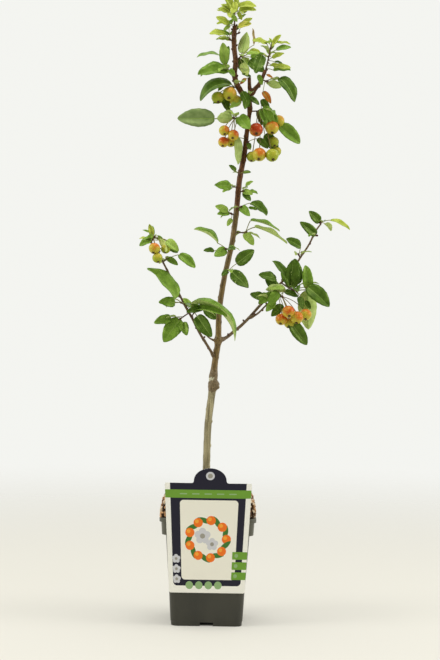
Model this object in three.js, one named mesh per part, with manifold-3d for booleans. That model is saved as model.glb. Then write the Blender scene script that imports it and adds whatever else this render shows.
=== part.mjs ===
// A young ornamental crabapple tree in its square nursery pot, in millimetres, +Z up.
// The origin is the centre of the pot's flat underside. Seen from the front, the viewer looks
// along +Y and +X is to the right.
import * as THREE from 'three';
import { mergeVertices } from 'three/addons/utils/BufferGeometryUtils.js';
import Module from 'manifold-3d';

const wasm = await Module();
wasm.setup();
const { Manifold, Mesh: SolidMesh } = wasm;

// Pot: half widths of the square and heights
const POT = {
  baseHalf: 68, bodyTopHalf: 80, collarHalf: 87.5, collarTopHalf: 89, lipHalf: 92.5,
  ledge: 8, bodyTop: 174, collarTop: 200, height: 209,
  wall: 2, floor: 3, corner: 13,
};
const DRAIN = { width: 25, height: 7, depth: 6, holeRadius: 5, holePlace: 42 };

// Growing mix and bark mulch: a heap with steep sides that starts over the rim, as the half widths
// and heights of its square rings from the rim up, its level at the trunk, and the chips' relief
const MULCH = {
  rings: [[88, 222], [84, 237], [72, 243], [50, 242], [30, 240]], rimHalf: 89,
  crown: 238, crownHalf: 16, relief: 3.5,
};

// Label card, hung on the rim by a hook
const CARD = {
  bottom: 65, height: 215, topHalf: 82.5, bottomHalf: 72, thickness: 0.8,
  tabHalf: 31, tabHeight: 29, tabShift: 3.5, tabFillet: 5, hookHalf: 20, hookDepth: 24,
};

// Clearance between neighbouring pieces, and how far leaves keep from what isn't theirs
const GAP = 0.3;
const LEAF_CLEARANCE = 4;
const LIMB_CLEARANCE = 1.5;

// Foliage. A leaf's thickness and width are shares of its length, and fold is how steeply its
// halves rise from the midrib, in radians. Stalks longer than longStalk bend in the middle.
const LEAF = {
  thickness: 0.02, width: 0.56, widthSpread: 0.24, fold: 0.42, stalkRadius: 0.9, longStalk: 14,
};
const STEM = { root: 1.7, tip: 1.2, sides: 4, bare: 0.45, step: 16, sag: 0.12 };
const FRUIT = { stalkRadius: 0.7, stalkSides: 3, around: 7, up: 5, height: 0.94, hang: 0.8 };

// Leaves that the seeded rule adds: how they climb from the stem in degrees, their size and stalk
// as shares of the mass's leaf, how far they hang, and their droop in degrees
const FILL = {
  climb: [-5, 45], size: [0.6, 0.4], stalk: [0.25, 0.2], hang: 0.45, tilt: 0.6, droop: [20, 40],
};
const GOLDEN_ANGLE = 137.5;

// Limbs have a ring of points about this often, and slivers under this size are merged away
const STEP = 25;
const SMOOTHING = 0.05;

const COLOUR = {
  rootstock: 0x6f6546, bark: 0x5d4630, shoot: 0x4a2a22, leaf: 0x3f7a2c, young: 0x9db43c,
  pot: 0x2d2f30, mulch: 0x8a5a33, card: 0xe9e6dc,
};

// Limbs: points [x, y, z] along each centreline, and the radius at its root and tip
const LIMBS = {
  trunk: {
    path: [[-6, 0, 238], [-5, 0, 300], [-3, 0, 384], [3, 0, 440], [8, 0, 500], [14, 0, 547],
      [15, 0, 600], [24, 0, 669], [38, 0, 736], [45, 0, 790], [51, 0, 860], [60, 0, 915],
      [65, 0, 966], [69, 0, 1000], [67, 0, 1063]],
    root: 7.4, tip: 2.8, sides: 8, colour: COLOUR.bark,
    swellings: [[238, 9, 5], [425, 45, 0.5], [462, 14, 2.2], [547, 6, 2.6], [860, 110, 0.8],
      [1003, 7, 1]],
  },
  leader: {
    path: [[68, 0, 1018], [53, 1, 1033], [42, 4, 1053], [38, 7, 1072], [40, 10, 1094], [37, 12, 1119],
      [36, 13, 1140], [37, 14, 1166]],
    root: 4.8, tip: 3.8, sides: 7, colour: COLOUR.shoot, on: 'trunk',
  },
  bough_left: {
    path: [[8, 0, 513], [-7, -13, 537], [-22, -24, 561], [-36, -33, 588], [-49, -41, 610],
      [-63, -48, 637], [-86, -58, 681], [-94, -61, 696], [-104, -64, 716], [-117, -66, 733]],
    root: 2.8, tip: 1.6, sides: 6, colour: COLOUR.shoot, on: 'trunk',
  },
  bough_right: {
    path: [[14, 0, 547], [30, 8, 553], [48, 18, 568], [57, 23, 575], [73, 32, 591], [93, 42, 614],
      [129, 58, 654], [158, 68, 686], [172, 73, 708], [180, 76, 721], [192, 79, 739],
      [209, 82, 773], [217, 83, 784]],
    root: 3.4, tip: 1.6, sides: 6, colour: COLOUR.shoot, on: 'trunk',
  },
  bough_right_second: {
    path: [[73, 32, 591], [91, 26, 601], [106, 20, 616], [120, 15, 629]],
    root: 2.2, tip: 1.5, sides: 6, colour: COLOUR.shoot, on: 'bough_right',
  },
  crown_twig: {
    path: [[68, 0, 1030], [78, -8, 1039], [88, -16, 1051], [98, -24, 1074]],
    root: 4.2, tip: 2.6, sides: 7, colour: COLOUR.shoot, on: 'trunk',
  },
  fork_twig: {
    path: [[14, 0, 545], [2, -8, 549], [-6, -15, 554], [-13, -20, 562]],
    root: 1.9, tip: 1.2, sides: 6, colour: COLOUR.shoot, on: 'trunk',
  },
};

// Masses of foliage. Each grows on a limb, at a height or at its tip, from one stem that has a
// heading (degrees in the picture plane, 0 to the right, 90 up), a turn towards the viewer, and
// a length, and is bare up to a share of it. A leaf's row is its stalk's heading and length, its
// blade's heading, turn towards the viewer and length, where its upper side faces (0 up, 90 to the
// viewer, below 0 away), and its droop from base to tip. A fruit's row is its place from the
// stem's tip, right, towards the viewer and up, and its radius. More leaves are added by the
// seeded rule, as many as fill says.
const MASSES = {
  left_tip: {
    limb: 'bough_left', stem: [62, 0, 11], seed: 11, fill: 3, leaf: 30,
    leaves: [[170, 8, 178, 0, 18, 35, 25], [105, 6, 104, 10, 24, 60, 15], [200, 6, 215, 35, 30, 70, 30],
      [-20, 10, -58, 30, 34, -50, 40], [-12, 26, -42, 20, 34, 80, 20]],
    fruits: [[2, 15, -22, 10], [23, 4, -22, 8.5], [34, -8, -17, 8.5], [8, 13, -40, 9]],
  },
  left_upper: {
    limb: 'bough_left', at: 697, stem: [28, 10, 8], seed: 12, fill: 2, leaf: 30,
    leaves: [[60, 4, -32, 15, 26, 75, 20], [22, 24, -38, 5, 42, 60, 55]],
    fruits: [],
  },
  left_mid: {
    limb: 'bough_left', at: 615, stem: [150, 45, 9], seed: 13, fill: 3, leaf: 40,
    leaves: [[172, 14, 182, 40, 40, 80, 12], [122, 11, 136, 8, 83, 125, 20]],
    fruits: [],
  },
  left_inner: {
    limb: 'bough_left', at: 592, stem: [58, 45, 22], seed: 15, fill: 2, leaf: 40,
    leaves: [[-48, 8, -54, 22, 54, 100, 12], [100, 12, 165, 10, 30, -60, 15],
      [15, 14, 192, 25, 34, 60, 20],
      [30, 4, -14, 20, 64, 40, 45], [20, 10, -47, 30, 104, -28, 62]],
    fruits: [],
  },
  left_low: {
    limb: 'bough_left', at: 600, stem: [216, 15, 18], seed: 14, fill: 2, leaf: 40,
    leaves: [[188, 24, 196, 25, 38, 75, 30], [215, 5, 236, 18, 57, 78, 18],
      [-70, 8, -68, 25, 30, 75, 12]],
    fruits: [],
  },
  trunk_low: {
    limb: 'trunk', at: 682, stem: [20, 50, 7], seed: 16, fill: 2, leaf: 32,
    leaves: [[200, 2, 220, 45, 22, 80, 10], [42, 20, 38, 20, 46, 80, 15],
      [-30, 5, -44, 30, 54, 88, 12]],
    fruits: [],
  },
  trunk_mid_left: {
    limb: 'trunk', at: 724, stem: [165, 40, 7], seed: 17, fill: 2, leaf: 28,
    leaves: [[158, 24, 150, 0, 54, 50, 45], [200, 2, 212, 42, 36, 88, 5],
      [190, 24, 182, 10, 22, 55, 20],
      [10, 4, -10, 55, 26, 70, 5]],
    fruits: [],
  },
  trunk_mid_right: {
    limb: 'trunk', at: 758, stem: [4, 5, 19], seed: 18, fill: 2, leaf: 34,
    leaves: [[-10, 4, -52, 15, 32, 65, 25], [28, 22, -27, 16, 76, -14, 24],
      [70, 24, -18, -12, 64, 22, 30]],
    fruits: [],
  },
  trunk_upper_left: {
    limb: 'trunk', at: 793, stem: [165, 30, 6], seed: 19, fill: 2, leaf: 24,
    leaves: [[-100, 10, -118, 30, 20, 85, 5], [168, 5, 186, 20, 26, 65, 20],
      [150, 8, 158, 15, 28, 70, 15]],
    fruits: [],
  },
  trunk_upper_right: {
    limb: 'trunk', at: 806, stem: [20, 45, 7], seed: 20, fill: 2, leaf: 26,
    leaves: [[0, 3, -50, 45, 36, 88, 8], [-5, 16, -12, 0, 18, 50, 15], [22, 20, -36, 0, 42, 48, 55]],
    fruits: [],
  },
  trunk_high_left: {
    limb: 'trunk', at: 846, stem: [165, 25, 6], seed: 21, fill: 2, leaf: 22,
    leaves: [[205, 6, 205, 20, 22, 50, 20], [172, 6, 182, 38, 42, 85, 10]],
    fruits: [],
  },
  trunk_high_right: {
    limb: 'trunk', at: 838, stem: [10, 45, 7], seed: 22, fill: 2, leaf: 22,
    leaves: [[20, 3, -20, 30, 24, 80, 10], [-35, 4, -50, 30, 26, 80, 10], [5, 14, -18, 0, 18, 45, 15],
      [60, 12, 30, 20, 18, 60, 10]],
    fruits: [],
  },
  trunk_buds: {
    limb: 'trunk', at: 868, stem: [110, 50, 5], seed: 23, fill: 1, leaf: 16,
    leaves: [[140, 9, 142, 20, 19, 65, 15], [15, 8, 0, 30, 18, 65, 10]],
    fruits: [],
  },
  trunk_node: {
    limb: 'trunk', at: 936, stem: [0, 65, 5], seed: 24, fill: 1, leaf: 18,
    leaves: [[-80, 2, -72, 30, 18, 78, 10]],
    fruits: [],
  },
  right_tip: {
    limb: 'bough_right', stem: [70, 0, 4], seed: 25, fill: 2, leaf: 34,
    leaves: [[165, 3, 138, 25, 35, 84, 15], [14, 18, -26, 5, 46, 45, 55]],
    fruits: [],
  },
  right_side: {
    limb: 'bough_right', at: 760, stem: [0, 60, 11], seed: 42, fill: 1, leaf: 28,
    leaves: [[150, 2, 143, 18, 44, 82, 15]],
    fruits: [],
  },
  right_upper: {
    limb: 'bough_right', at: 715, stem: [120, 25, 5], seed: 26, fill: 2, leaf: 32,
    leaves: [[76, 16, 152, 15, 36, 65, 25]],
    fruits: [],
  },
  right_cluster: {
    limb: 'bough_right', at: 664, stem: [-32, 45, 46], seed: 27, fill: 3, leaf: 42,
    leaves: [[128, 10, 124, 5, 66, 40, 30], [72, 2, 88, 14, 58, 84, 12], [50, 14, 96, 0, 52, 62, 20],
      [15, 28, -42, 10, 60, 68, 32], [4, 24, -87, -4, 78, -75, 10], [-60, 12, -75, 25, 28, 75, 10]],
    fruits: [],
  },
  right_inner: {
    limb: 'bough_right_second', stem: [195, 0, 7], seed: 29, fill: 2, leaf: 34,
    leaves: [[190, 3, 228, 40, 40, 75, 20], [110, 13, 190, 20, 36, 70, 25], [150, 8, 165, -20, 34, 75, 20]],
    fruits: [],
  },
  right_fruit: {
    limb: 'bough_right', at: 640, stem: [-12, 62, 46], seed: 28, fill: 0, leaf: 34,
    leaves: [[95, 34, 168, 15, 38, 60, 25], [42, 18, 178, 15, 42, -60, 20], [215, 14, 232, 20, 30, 85, 12],
      [-72, 50, -53, -8, 60, 82, 12]],
    fruits: [[12, 16, -30, 11.2], [-1, 2, -45, 10.8], [29, 8, -41, 11.8], [47, -6, -35, 10.8],
      [15, -8, -52, 9.8]],
  },
  crown_left_low: {
    limb: 'trunk', at: 976, stem: [168, 25, 28], seed: 30, fill: 2, leaf: 40,
    leaves: [[100, 6, -54, 40, 46, 85, 15], [180, 44, 180, 0, 74, 84, 5],
      [182, 6, 187, 45, 44, -78, 15],
      [-86, 32, -84, 0, 60, -8, 8]],
    fruits: [[-19, 5, -26, 9.6], [-20, -6, -47, 9.8], [-1, 8, -35, 9.8], [-6, -14, -45, 9.8]],
  },
  crown_left: {
    limb: 'leader', at: 1044, stem: [185, 25, 9], seed: 31, fill: 2, leaf: 36,
    leaves: [[130, 6, 209, 10, 81, 35, 95], [210, 30, -60, -15, 38, 60, 15],
      [-120, 30, 200, 15, 26, 55, 20]],
    fruits: [[-29, 8, -22, 11.2], [-6, 12, -15, 12.7], [6, 2, -27, 10.8]],
  },
  crown_front: {
    limb: 'trunk', at: 1026, stem: [-120, 70, 8], seed: 43, fill: 1, leaf: 30,
    leaves: [[130, 6, -98, 30, 36, 88, 10], [-30, 6, -40, 25, 22, 78, 15]],
    fruits: [],
  },
  leader_left: {
    limb: 'leader', at: 1068, stem: [145, 15, 15], seed: 33, fill: 3, leaf: 38,
    leaves: [[172, 5, 192, 20, 64, 55, 30], [125, 16, 96, 15, 42, 60, 30],
      [120, 33, 186, 0, 48, 25, 45],
      [-30, 3, -55, 45, 28, 70, 20]],
    fruits: [],
  },
  leader_right: {
    limb: 'leader', at: 1096, stem: [40, 25, 12], seed: 34, fill: 2, leaf: 34,
    leaves: [[-62, 12, -66, 20, 30, -70, 10], [20, 12, 0, 25, 30, 45, 25],
      [68, 8, 78, -20, 50, -85, 12],
      [42, 34, 96, 0, 34, 14, 12]],
    fruits: [],
  },
  twig_tip: {
    limb: 'crown_twig', stem: [78, 5, 42], bare: 0.1, seed: 35, fill: 3, leaf: 30,
    leaves: [[0, 7, -5, 20, 22, 65, 15], [-30, 14, -5, 5, 34, 50, 20], [30, 10, 15, 25, 26, 70, 15],
      [160, 14, -108, 25, 46, 85, 10], [35, 16, 8, 10, 30, 50, 25], [112, 15, 170, 20, 32, 50, 30],
      [60, 8, 50, 15, 26, 60, 20]],
    fruits: [],
  },
  twig_mid: {
    limb: 'crown_twig', at: 1056, stem: [-15, 20, 8], seed: 36, fill: 2, leaf: 32,
    leaves: [[-100, 22, -58, 15, 30, 65, 25], [-40, 6, -18, 10, 28, -65, 15],
      [14, 25, -56, 0, 60, 45, 72]],
    fruits: [],
  },
  crown_right_low: {
    limb: 'trunk', at: 997, stem: [2, 5, 20], seed: 37, fill: 3, leaf: 36,
    leaves: [[30, 10, -72, 25, 38, 78, 15], [0, 18, -48, 15, 32, 72, 20],
      [-55, 20, -68, 10, 32, 80, 12],
      [-78, 46, -50, -8, 42, 80, 15], [-40, 42, -37, -10, 58, 70, 18]],
    fruits: [[-10, 14, -39, 12.3], [21, 8, -34, 12.3], [34, -2, -19, 10.8], [-17, 0, -90, 9.8],
      [-3, 12, -87, 12.3],
      [22, 12, -88, 11.8], [25, -6, -60, 9.8], [30, -14, -77, 9.8]],
  },
  leader_top: {
    limb: 'leader', at: 1134, stem: [150, 20, 6], seed: 38, fill: 2, leaf: 28,
    leaves: [[190, 3, 174, 15, 24, 55, 25], [130, 14, 180, 10, 34, 50, 40],
      [98, 30, 152, 10, 28, 60, 25]],
    fruits: [],
  },
  leader_high: {
    limb: 'leader', at: 1148, stem: [25, 20, 6], seed: 41, fill: 2, leaf: 26,
    leaves: [[70, 14, 34, 15, 28, 60, 20]],
    fruits: [],
  },
  top_shoot: {
    limb: 'leader', stem: [93, 0, 40], bare: 0.25, seed: 39, fill: 5, leaf: 30,
    leaves: [[190, 7, 176, 15, 30, 60, 20], [0, 6, -4, 20, 28, 65, 20], [160, 9, 165, 20, 26, 60, 20],
      [150, 9, 150, 10, 22, 55, 20], [120, 5, 125, 20, 34, 65, 15], [20, 10, -2, 10, 36, 55, 50],
      [60, 6, 62, 15, 26, 55, 20]],
    fruits: [],
  },
};

// Repeatable random numbers from 0 to 1
function seededRandom(seed) {
  let state = (seed * 2654435761) >>> 0;
  return () => {
    state = (Math.imul(state, 1664525) + 1013904223) >>> 0;
    return state / 4294967296;
  };
}

const radians = (degrees) => degrees * Math.PI / 180;
const point = (p) => new THREE.Vector3(...p);

// A direction from its heading in the picture plane and its turn towards the viewer
function direction(heading, turn) {
  const flat = Math.cos(radians(turn));
  return new THREE.Vector3(
    flat * Math.cos(radians(heading)), -Math.sin(radians(turn)), flat * Math.sin(radians(heading)));
}

// A closed surface through rings of points that all have the same count, with flat end caps, or
// with a point in place of the last cap
function loft(rings, end) {
  const vertices = rings.flat();
  const count = rings[0].length;
  const faces = [];
  for (let ring = 0; ring + 1 < rings.length; ring += 1) {
    for (let i = 0; i < count; i += 1) {
      const a = ring * count + i;
      const b = ring * count + (i + 1) % count;
      faces.push(a, b, b + count, a, b + count, a + count);
    }
  }
  const last = (rings.length - 1) * count;
  for (let i = 1; i + 1 < count; i += 1) {
    faces.push(0, i + 1, i);
    if (!end) faces.push(last, last + i, last + i + 1);
  }
  for (let i = 0; end && i < count; i += 1) {
    faces.push(last + i, last + (i + 1) % count, vertices.length);
  }
  return geometryFrom(end ? [...vertices, end] : vertices, faces);
}

function geometryFrom(vertices, faces) {
  const geometry = new THREE.BufferGeometry();
  const places = vertices.flatMap((v) => [v.x, v.y, v.z]);
  geometry.setAttribute('position', new THREE.Float32BufferAttribute(places, 3));
  geometry.setIndex(faces);
  return geometry;
}

// Solids for joining and cutting, and the geometry of the result
function solid(geometry) {
  const bare = geometry.clone();
  for (const name of Object.keys(bare.attributes)) {
    if (name !== 'position') bare.deleteAttribute(name);
  }
  const merged = mergeVertices(bare, 1e-4);
  return new Manifold(new SolidMesh({
    numProp: 3,
    vertProperties: new Float32Array(merged.attributes.position.array),
    triVerts: new Uint32Array(merged.index.array),
  }));
}

function geometryOf(manifold) {
  const mesh = manifold.getMesh();
  const geometry = new THREE.BufferGeometry();
  geometry.setAttribute('position', new THREE.BufferAttribute(new Float32Array(mesh.vertProperties), 3));
  geometry.setIndex(Array.from(mesh.triVerts));
  geometry.computeVertexNormals();
  return geometry;
}

// The largest connected body of a solid, with any hollow that joining has sealed filled in: of its
// closed shells, only the one that holds the most is kept
function mainBody(manifold) {
  const { vertProperties, triVerts, numProp } = manifold.getMesh();
  const parent = Array.from({ length: vertProperties.length / numProp }, (_, i) => i);
  const root = (i) => {
    while (parent[i] !== i) {
      parent[i] = parent[parent[i]];
      i = parent[i];
    }
    return i;
  };
  for (let i = 0; i < triVerts.length; i += 3) {
    parent[root(triVerts[i + 1])] = root(triVerts[i]);
    parent[root(triVerts[i + 2])] = root(triVerts[i]);
  }
  const place = (i) => new THREE.Vector3().fromArray(vertProperties, i * numProp);
  const shells = new Map();
  for (let i = 0; i < triVerts.length; i += 3) {
    const face = [triVerts[i], triVerts[i + 1], triVerts[i + 2]];
    const shell = shells.get(root(face[0])) ?? { volume: 0, faces: [] };
    shell.volume += place(face[0]).dot(place(face[1]).cross(place(face[2]))) / 6;
    shell.faces.push(...face);
    shells.set(root(face[0]), shell);
  }
  const largest = [...shells.values()].reduce((best, shell) => (shell.volume > best.volume ? shell : best));
  return new Manifold(new SolidMesh({ numProp, vertProperties, triVerts: new Uint32Array(largest.faces) }));
}

// A tapering round limb along a list of points, with a radius at each
function limbRings(points, radii, sides) {
  let across = null;
  return points.map((p, i) => {
    const before = points[Math.max(i - 1, 0)];
    const after = points[Math.min(i + 1, points.length - 1)];
    const along = after.clone().sub(before).normalize();
    const guide = across ?? new THREE.Vector3(0, 1, 0);
    across = guide.clone().addScaledVector(along, -guide.dot(along)).normalize();
    const other = along.clone().cross(across);
    return Array.from({ length: sides }, (_, k) => {
      const angle = 2 * Math.PI * k / sides;
      return p.clone()
        .addScaledVector(across, radii[i] * Math.cos(angle))
        .addScaledVector(other, radii[i] * Math.sin(angle));
    });
  });
}

const tube = (points, radii, sides) => loft(limbRings(points, radii, sides));

// Points along a limb's centreline with the radius at each: a taper, and a swelling at each node
function limbShape({ path, root, tip, swellings = [] }) {
  const curve = new THREE.CatmullRomCurve3(path.map(point), false, 'centripetal');
  const count = Math.max(4, Math.round(curve.getLength() / STEP));
  const points = curve.getSpacedPoints(count);
  const radii = points.map((p, i) => {
    const taper = root + (tip - root) * i / count;
    return swellings.reduce((radius, [height, spread, extra]) => (
      radius + extra * Math.exp(-(((p.z - height) / spread) ** 2))), taper);
  });
  return { points, radii };
}

const shapes = {};
for (const [name, limb] of Object.entries(LIMBS)) shapes[name] = limbShape(limb);

// The trunk's foot is one flat cut, level with the mulch
shapes.trunk.points[0].z = MULCH.crown + GAP;

function limbSolid(name, extra = 0) {
  const { points, radii } = shapes[name];
  return solid(tube(points, radii.map((r) => r + extra), LIMBS[name].sides));
}

// A place on a limb: its tip, or the point at a height
function placeOn(name, height) {
  const { points, radii } = shapes[name];
  const last = points.length - 1;
  if (height === undefined) {
    const along = points[last].clone().sub(points[last - 1]).normalize();
    return { at: points[last].clone().addScaledVector(along, GAP), radius: radii[last] };
  }
  const i = points.findIndex((p) => p.z >= height);
  const share = (height - points[i - 1].z) / (points[i].z - points[i - 1].z);
  return { at: points[i - 1].clone().lerp(points[i], share), radius: radii[i] };
}

// How far a point is from a limb's bark
function distanceToLimb(p, { points, radii }) {
  let nearest = Infinity;
  const segment = new THREE.Line3();
  const closest = new THREE.Vector3();
  for (let i = 0; i + 1 < points.length; i += 1) {
    segment.set(points[i], points[i + 1]).closestPointToPoint(p, true, closest);
    nearest = Math.min(nearest, closest.distanceTo(p) - Math.max(radii[i], radii[i + 1]));
  }
  return nearest;
}

// Leaf blade: its outline rises from the base, is widest below the middle and runs to a point
const STATIONS = [0.16, 0.42, 0.76];
const halfWidth = (t) => 3.13 * t ** 0.72 * (1 - t) ** 0.95;

// The blade's frame at a share t of its length: it bends down evenly from base to tip
function bladeFrame(leaf, t) {
  const bend = radians(leaf.droop);
  const turn = bend * (t - 0.5);
  const along = leaf.along.clone().multiplyScalar(Math.cos(turn)).addScaledVector(leaf.up, -Math.sin(turn));
  const up = leaf.up.clone().multiplyScalar(Math.cos(turn)).addScaledVector(leaf.along, Math.sin(turn));
  const safe = Math.max(bend, 1e-3);
  const forward = (Math.sin(safe * (t - 0.5)) + Math.sin(safe / 2)) / safe;
  const rise = (Math.cos(safe * (t - 0.5)) - Math.cos(safe / 2)) / safe;
  const at = leaf.base.clone()
    .addScaledVector(leaf.along, forward * leaf.length)
    .addScaledVector(leaf.up, rise * leaf.length);
  return { at, along, up, side: along.clone().cross(up) };
}

// A point on the blade: across runs from -1 at its left edge to 1 at its right edge
function bladePoint(leaf, t, across) {
  const frame = bladeFrame(leaf, t);
  const reach = across * leaf.length * leaf.width * 0.5 * halfWidth(t);
  return frame.at
    .addScaledVector(frame.side, reach * Math.cos(LEAF.fold))
    .addScaledVector(frame.up, Math.abs(reach) * Math.sin(LEAF.fold));
}

// One closed leaf: four-sided rings run along the stalk and on through the blade to its tip
function leafGeometry(leaf) {
  const { at, side, up } = bladeFrame(leaf, 0);
  const stalk = leaf.from.distanceTo(leaf.base);
  const stalkRadius = LEAF.stalkRadius * (0.5 + leaf.length / 80);
  const middle = leaf.from.clone().lerp(leaf.base, 0.5);
  middle.z += 0.06 * stalk;
  const rings = [];
  let across = side;
  let onward = at.clone().sub(middle).normalize();
  for (const place of stalk > LEAF.longStalk ? [at, middle, leaf.from] : [at, leaf.from]) {
    if (place === middle) onward = middle.clone().sub(leaf.from).normalize();
    across = across.clone().addScaledVector(onward, -across.dot(onward)).normalize();
    const over = onward.clone().cross(across);
    rings.unshift([[across, 1], [over, 1], [across, -1], [over, -1]].map(([axis, sign]) => (
      place.clone().addScaledVector(axis, sign * stalkRadius))));
  }
  const half = 0.5 * LEAF.thickness * leaf.length;
  for (const t of STATIONS) {
    const frame = bladeFrame(leaf, t);
    rings.push([bladePoint(leaf, t, 1), frame.at.clone().addScaledVector(frame.up, -half),
      bladePoint(leaf, t, -1), frame.at.clone().addScaledVector(frame.up, half)]);
  }
  return loft(rings, bladePoint(leaf, 1, 0));
}

// A leaf from the stem's point, its stalk and its blade's aim
function makeLeaf(from, stalkAim, stalk, aim, length, facing, droop, random) {
  const base = from.clone().addScaledVector(stalkAim, stalk);
  const up = facing.clone().addScaledVector(aim, -facing.dot(aim)).normalize();
  const width = LEAF.width * (1 + LEAF.widthSpread * (random() - 0.5));
  return { from, base, along: aim.clone(), up, length, droop, width };
}

// Points all over a leaf and its stalk, to test whether its place is free
function leafSamples(leaf) {
  const samples = [];
  const count = 6 + Math.floor(leaf.length / 8);
  for (let i = 1; i <= count; i += 1) {
    for (let side = -3; side <= 3; side += 1) samples.push(bladePoint(leaf, i / count, side / 3));
  }
  for (const share of [0.5, 0.8, 1]) samples.push(leaf.from.clone().lerp(leaf.base, share));
  return samples;
}

const taken = [];

// Whether a leaf would touch a limb or another mass
function isBlocked(samples, mass) {
  const nearLimb = Object.values(shapes).some((shape) => (
    samples.some((p) => distanceToLimb(p, shape) < LIMB_CLEARANCE)));
  return nearLimb || taken.some((other) => other.mass !== mass && samples.some((p) => (
    p.distanceTo(other.middle) < other.reach + LEAF_CLEARANCE
    && other.samples.some((q) => p.distanceTo(q) < LEAF_CLEARANCE))));
}

function take(samples, mass) {
  const middle = samples.reduce((sum, p) => sum.add(p), new THREE.Vector3()).divideScalar(samples.length);
  const reach = Math.max(...samples.map((p) => p.distanceTo(middle)));
  taken.push({ mass, samples, middle, reach });
}

// The points that mark a fruit's space: its centre and its six poles
function fruitSamples({ at, size }) {
  const reach = ['x', 'y', 'z'].flatMap((axis) => [-size, size].map((step) => {
    const p = at.clone();
    p[axis] += step;
    return p;
  }));
  return [at, ...reach];
}

// The seeded rule: a mass is one stem, the leaves and fruits of its list, and leaves that are
// dealt round the stem by the golden angle. A leaf whose place isn't free is skipped.
function growMass(name, mass) {
  const random = seededRandom(mass.seed);
  const between = ([least, spread]) => least + spread * random();
  const { at, radius } = placeOn(mass.limb, mass.at);
  const [heading, turn, length] = mass.stem;
  const aim = direction(heading, turn);
  const bark = mass.at === undefined ? 0 : radius;
  const stemPoint = (share) => at.clone().addScaledVector(aim, bark + length * share)
    .add(new THREE.Vector3(0, 0, STEM.sag * length * share * (share - 1)));
  const leaves = [];
  const tryLeaf = (leaf) => {
    const samples = leafSamples(leaf);
    if (isBlocked(samples, name)) return;
    take(samples, name);
    leaves.push(leaf);
  };

  const bare = mass.bare ?? STEM.bare;
  mass.leaves.forEach(([stalkHeading, stalk, bladeHeading, bladeTurn, blade, face, droop], i) => {
    const share = bare + (1 - bare) * (i + 1) / mass.leaves.length;
    const facing = new THREE.Vector3(0, -Math.sin(radians(face)), Math.cos(radians(face)));
    tryLeaf(makeLeaf(stemPoint(share), direction(stalkHeading, 0.5 * bladeTurn), stalk,
      direction(bladeHeading, bladeTurn), blade, facing, droop, random));
  });

  for (let i = 0; i < mass.fill; i += 1) {
    const around = radians(mass.seed * 40 + i * GOLDEN_ANGLE);
    const climb = radians(between(FILL.climb));
    const blade = mass.leaf * between(FILL.size);
    const out = new THREE.Vector3(
      Math.cos(around) * Math.cos(climb), Math.sin(around) * Math.cos(climb), Math.sin(climb));
    const hang = out.clone().setZ(out.z - FILL.hang).normalize();
    const facing = new THREE.Vector3(FILL.tilt * (random() - 0.5), FILL.tilt * (random() - 0.5), 1);
    const from = stemPoint(0.5 + 0.5 * random());
    const stalk = blade * between(FILL.stalk);
    const droop = between(FILL.droop);
    tryLeaf(makeLeaf(from, out, stalk, hang, blade, facing, droop, random));
  }

  const fruits = mass.fruits.map(([right, near, up, size]) => ({
    from: stemPoint(0.6 + 0.4 * random()), at: stemPoint(1).add(new THREE.Vector3(right, -near, up)), size,
  }));
  for (const fruit of fruits) take(fruitSamples(fruit), name);

  const steps = Math.max(1, Math.round(length / STEM.step));
  const stem = Array.from({ length: steps + 1 }, (_, i) => stemPoint(i / steps));
  if (bark) stem.unshift(at.clone().addScaledVector(aim, 0.4 * bark));
  return { stem, leaves, fruits };
}

// The stem is cut where it meets its limb, a small gap clear of the bark
function stemSolid(stem, limb) {
  const radii = stem.map((_, i) => STEM.root + (STEM.tip - STEM.root) * i / (stem.length - 1));
  return mainBody(solid(tube(stem, radii, STEM.sides)).subtract(limbSolid(limb, GAP)));
}

// A fruit is a slightly flattened ball on a thin stalk that arches from the stem
function fruitSolid({ from, at, size }) {
  const top = at.clone().setZ(at.z + FRUIT.hang * size);
  const bend = from.clone().lerp(top, 0.5);
  bend.z += 0.15 * from.distanceTo(top);
  const stalk = solid(tube([from, bend, at], Array(3).fill(FRUIT.stalkRadius), FRUIT.stalkSides));
  const ball = new THREE.SphereGeometry(size, FRUIT.around, FRUIT.up);
  ball.rotateX(Math.PI / 2).scale(1, 1, FRUIT.height).translate(at.x, at.y, at.z);
  return stalk.add(solid(ball));
}

function massSolid(name, mass) {
  const { stem, leaves, fruits } = growMass(name, mass);
  const pieces = [
    stemSolid(stem, mass.limb),
    ...leaves.map((leaf) => solid(leafGeometry(leaf))),
    ...fruits.map(fruitSolid),
  ];
  return mainBody(Manifold.union(pieces).simplify(SMOOTHING));
}

// A ring of points round a square with rounded corners
const CORNER_POINTS = 3;
function squareRing(half, z, corner = POT.corner) {
  const ring = [];
  for (let quarter = 0; quarter < 4; quarter += 1) {
    for (let i = 0; i < CORNER_POINTS; i += 1) {
      const angle = Math.PI / 2 * (quarter + i / (CORNER_POINTS - 1));
      const centre = half - corner;
      const turnX = quarter === 0 || quarter === 3 ? centre : -centre;
      const turnY = quarter < 2 ? centre : -centre;
      ring.push(new THREE.Vector3(turnX + corner * Math.cos(angle), turnY + corner * Math.sin(angle), z));
    }
  }
  return ring;
}

const bodyHalf = (z) => POT.baseHalf + (POT.bodyTopHalf - POT.baseHalf) * z / POT.bodyTop;
const boxSolid = (x0, x1, y0, y1, z0, z1) => solid(new THREE.BoxGeometry(x1 - x0, y1 - y0, z1 - z0)
  .translate((x0 + x1) / 2, (y0 + y1) / 2, (z0 + z1) / 2));

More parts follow.
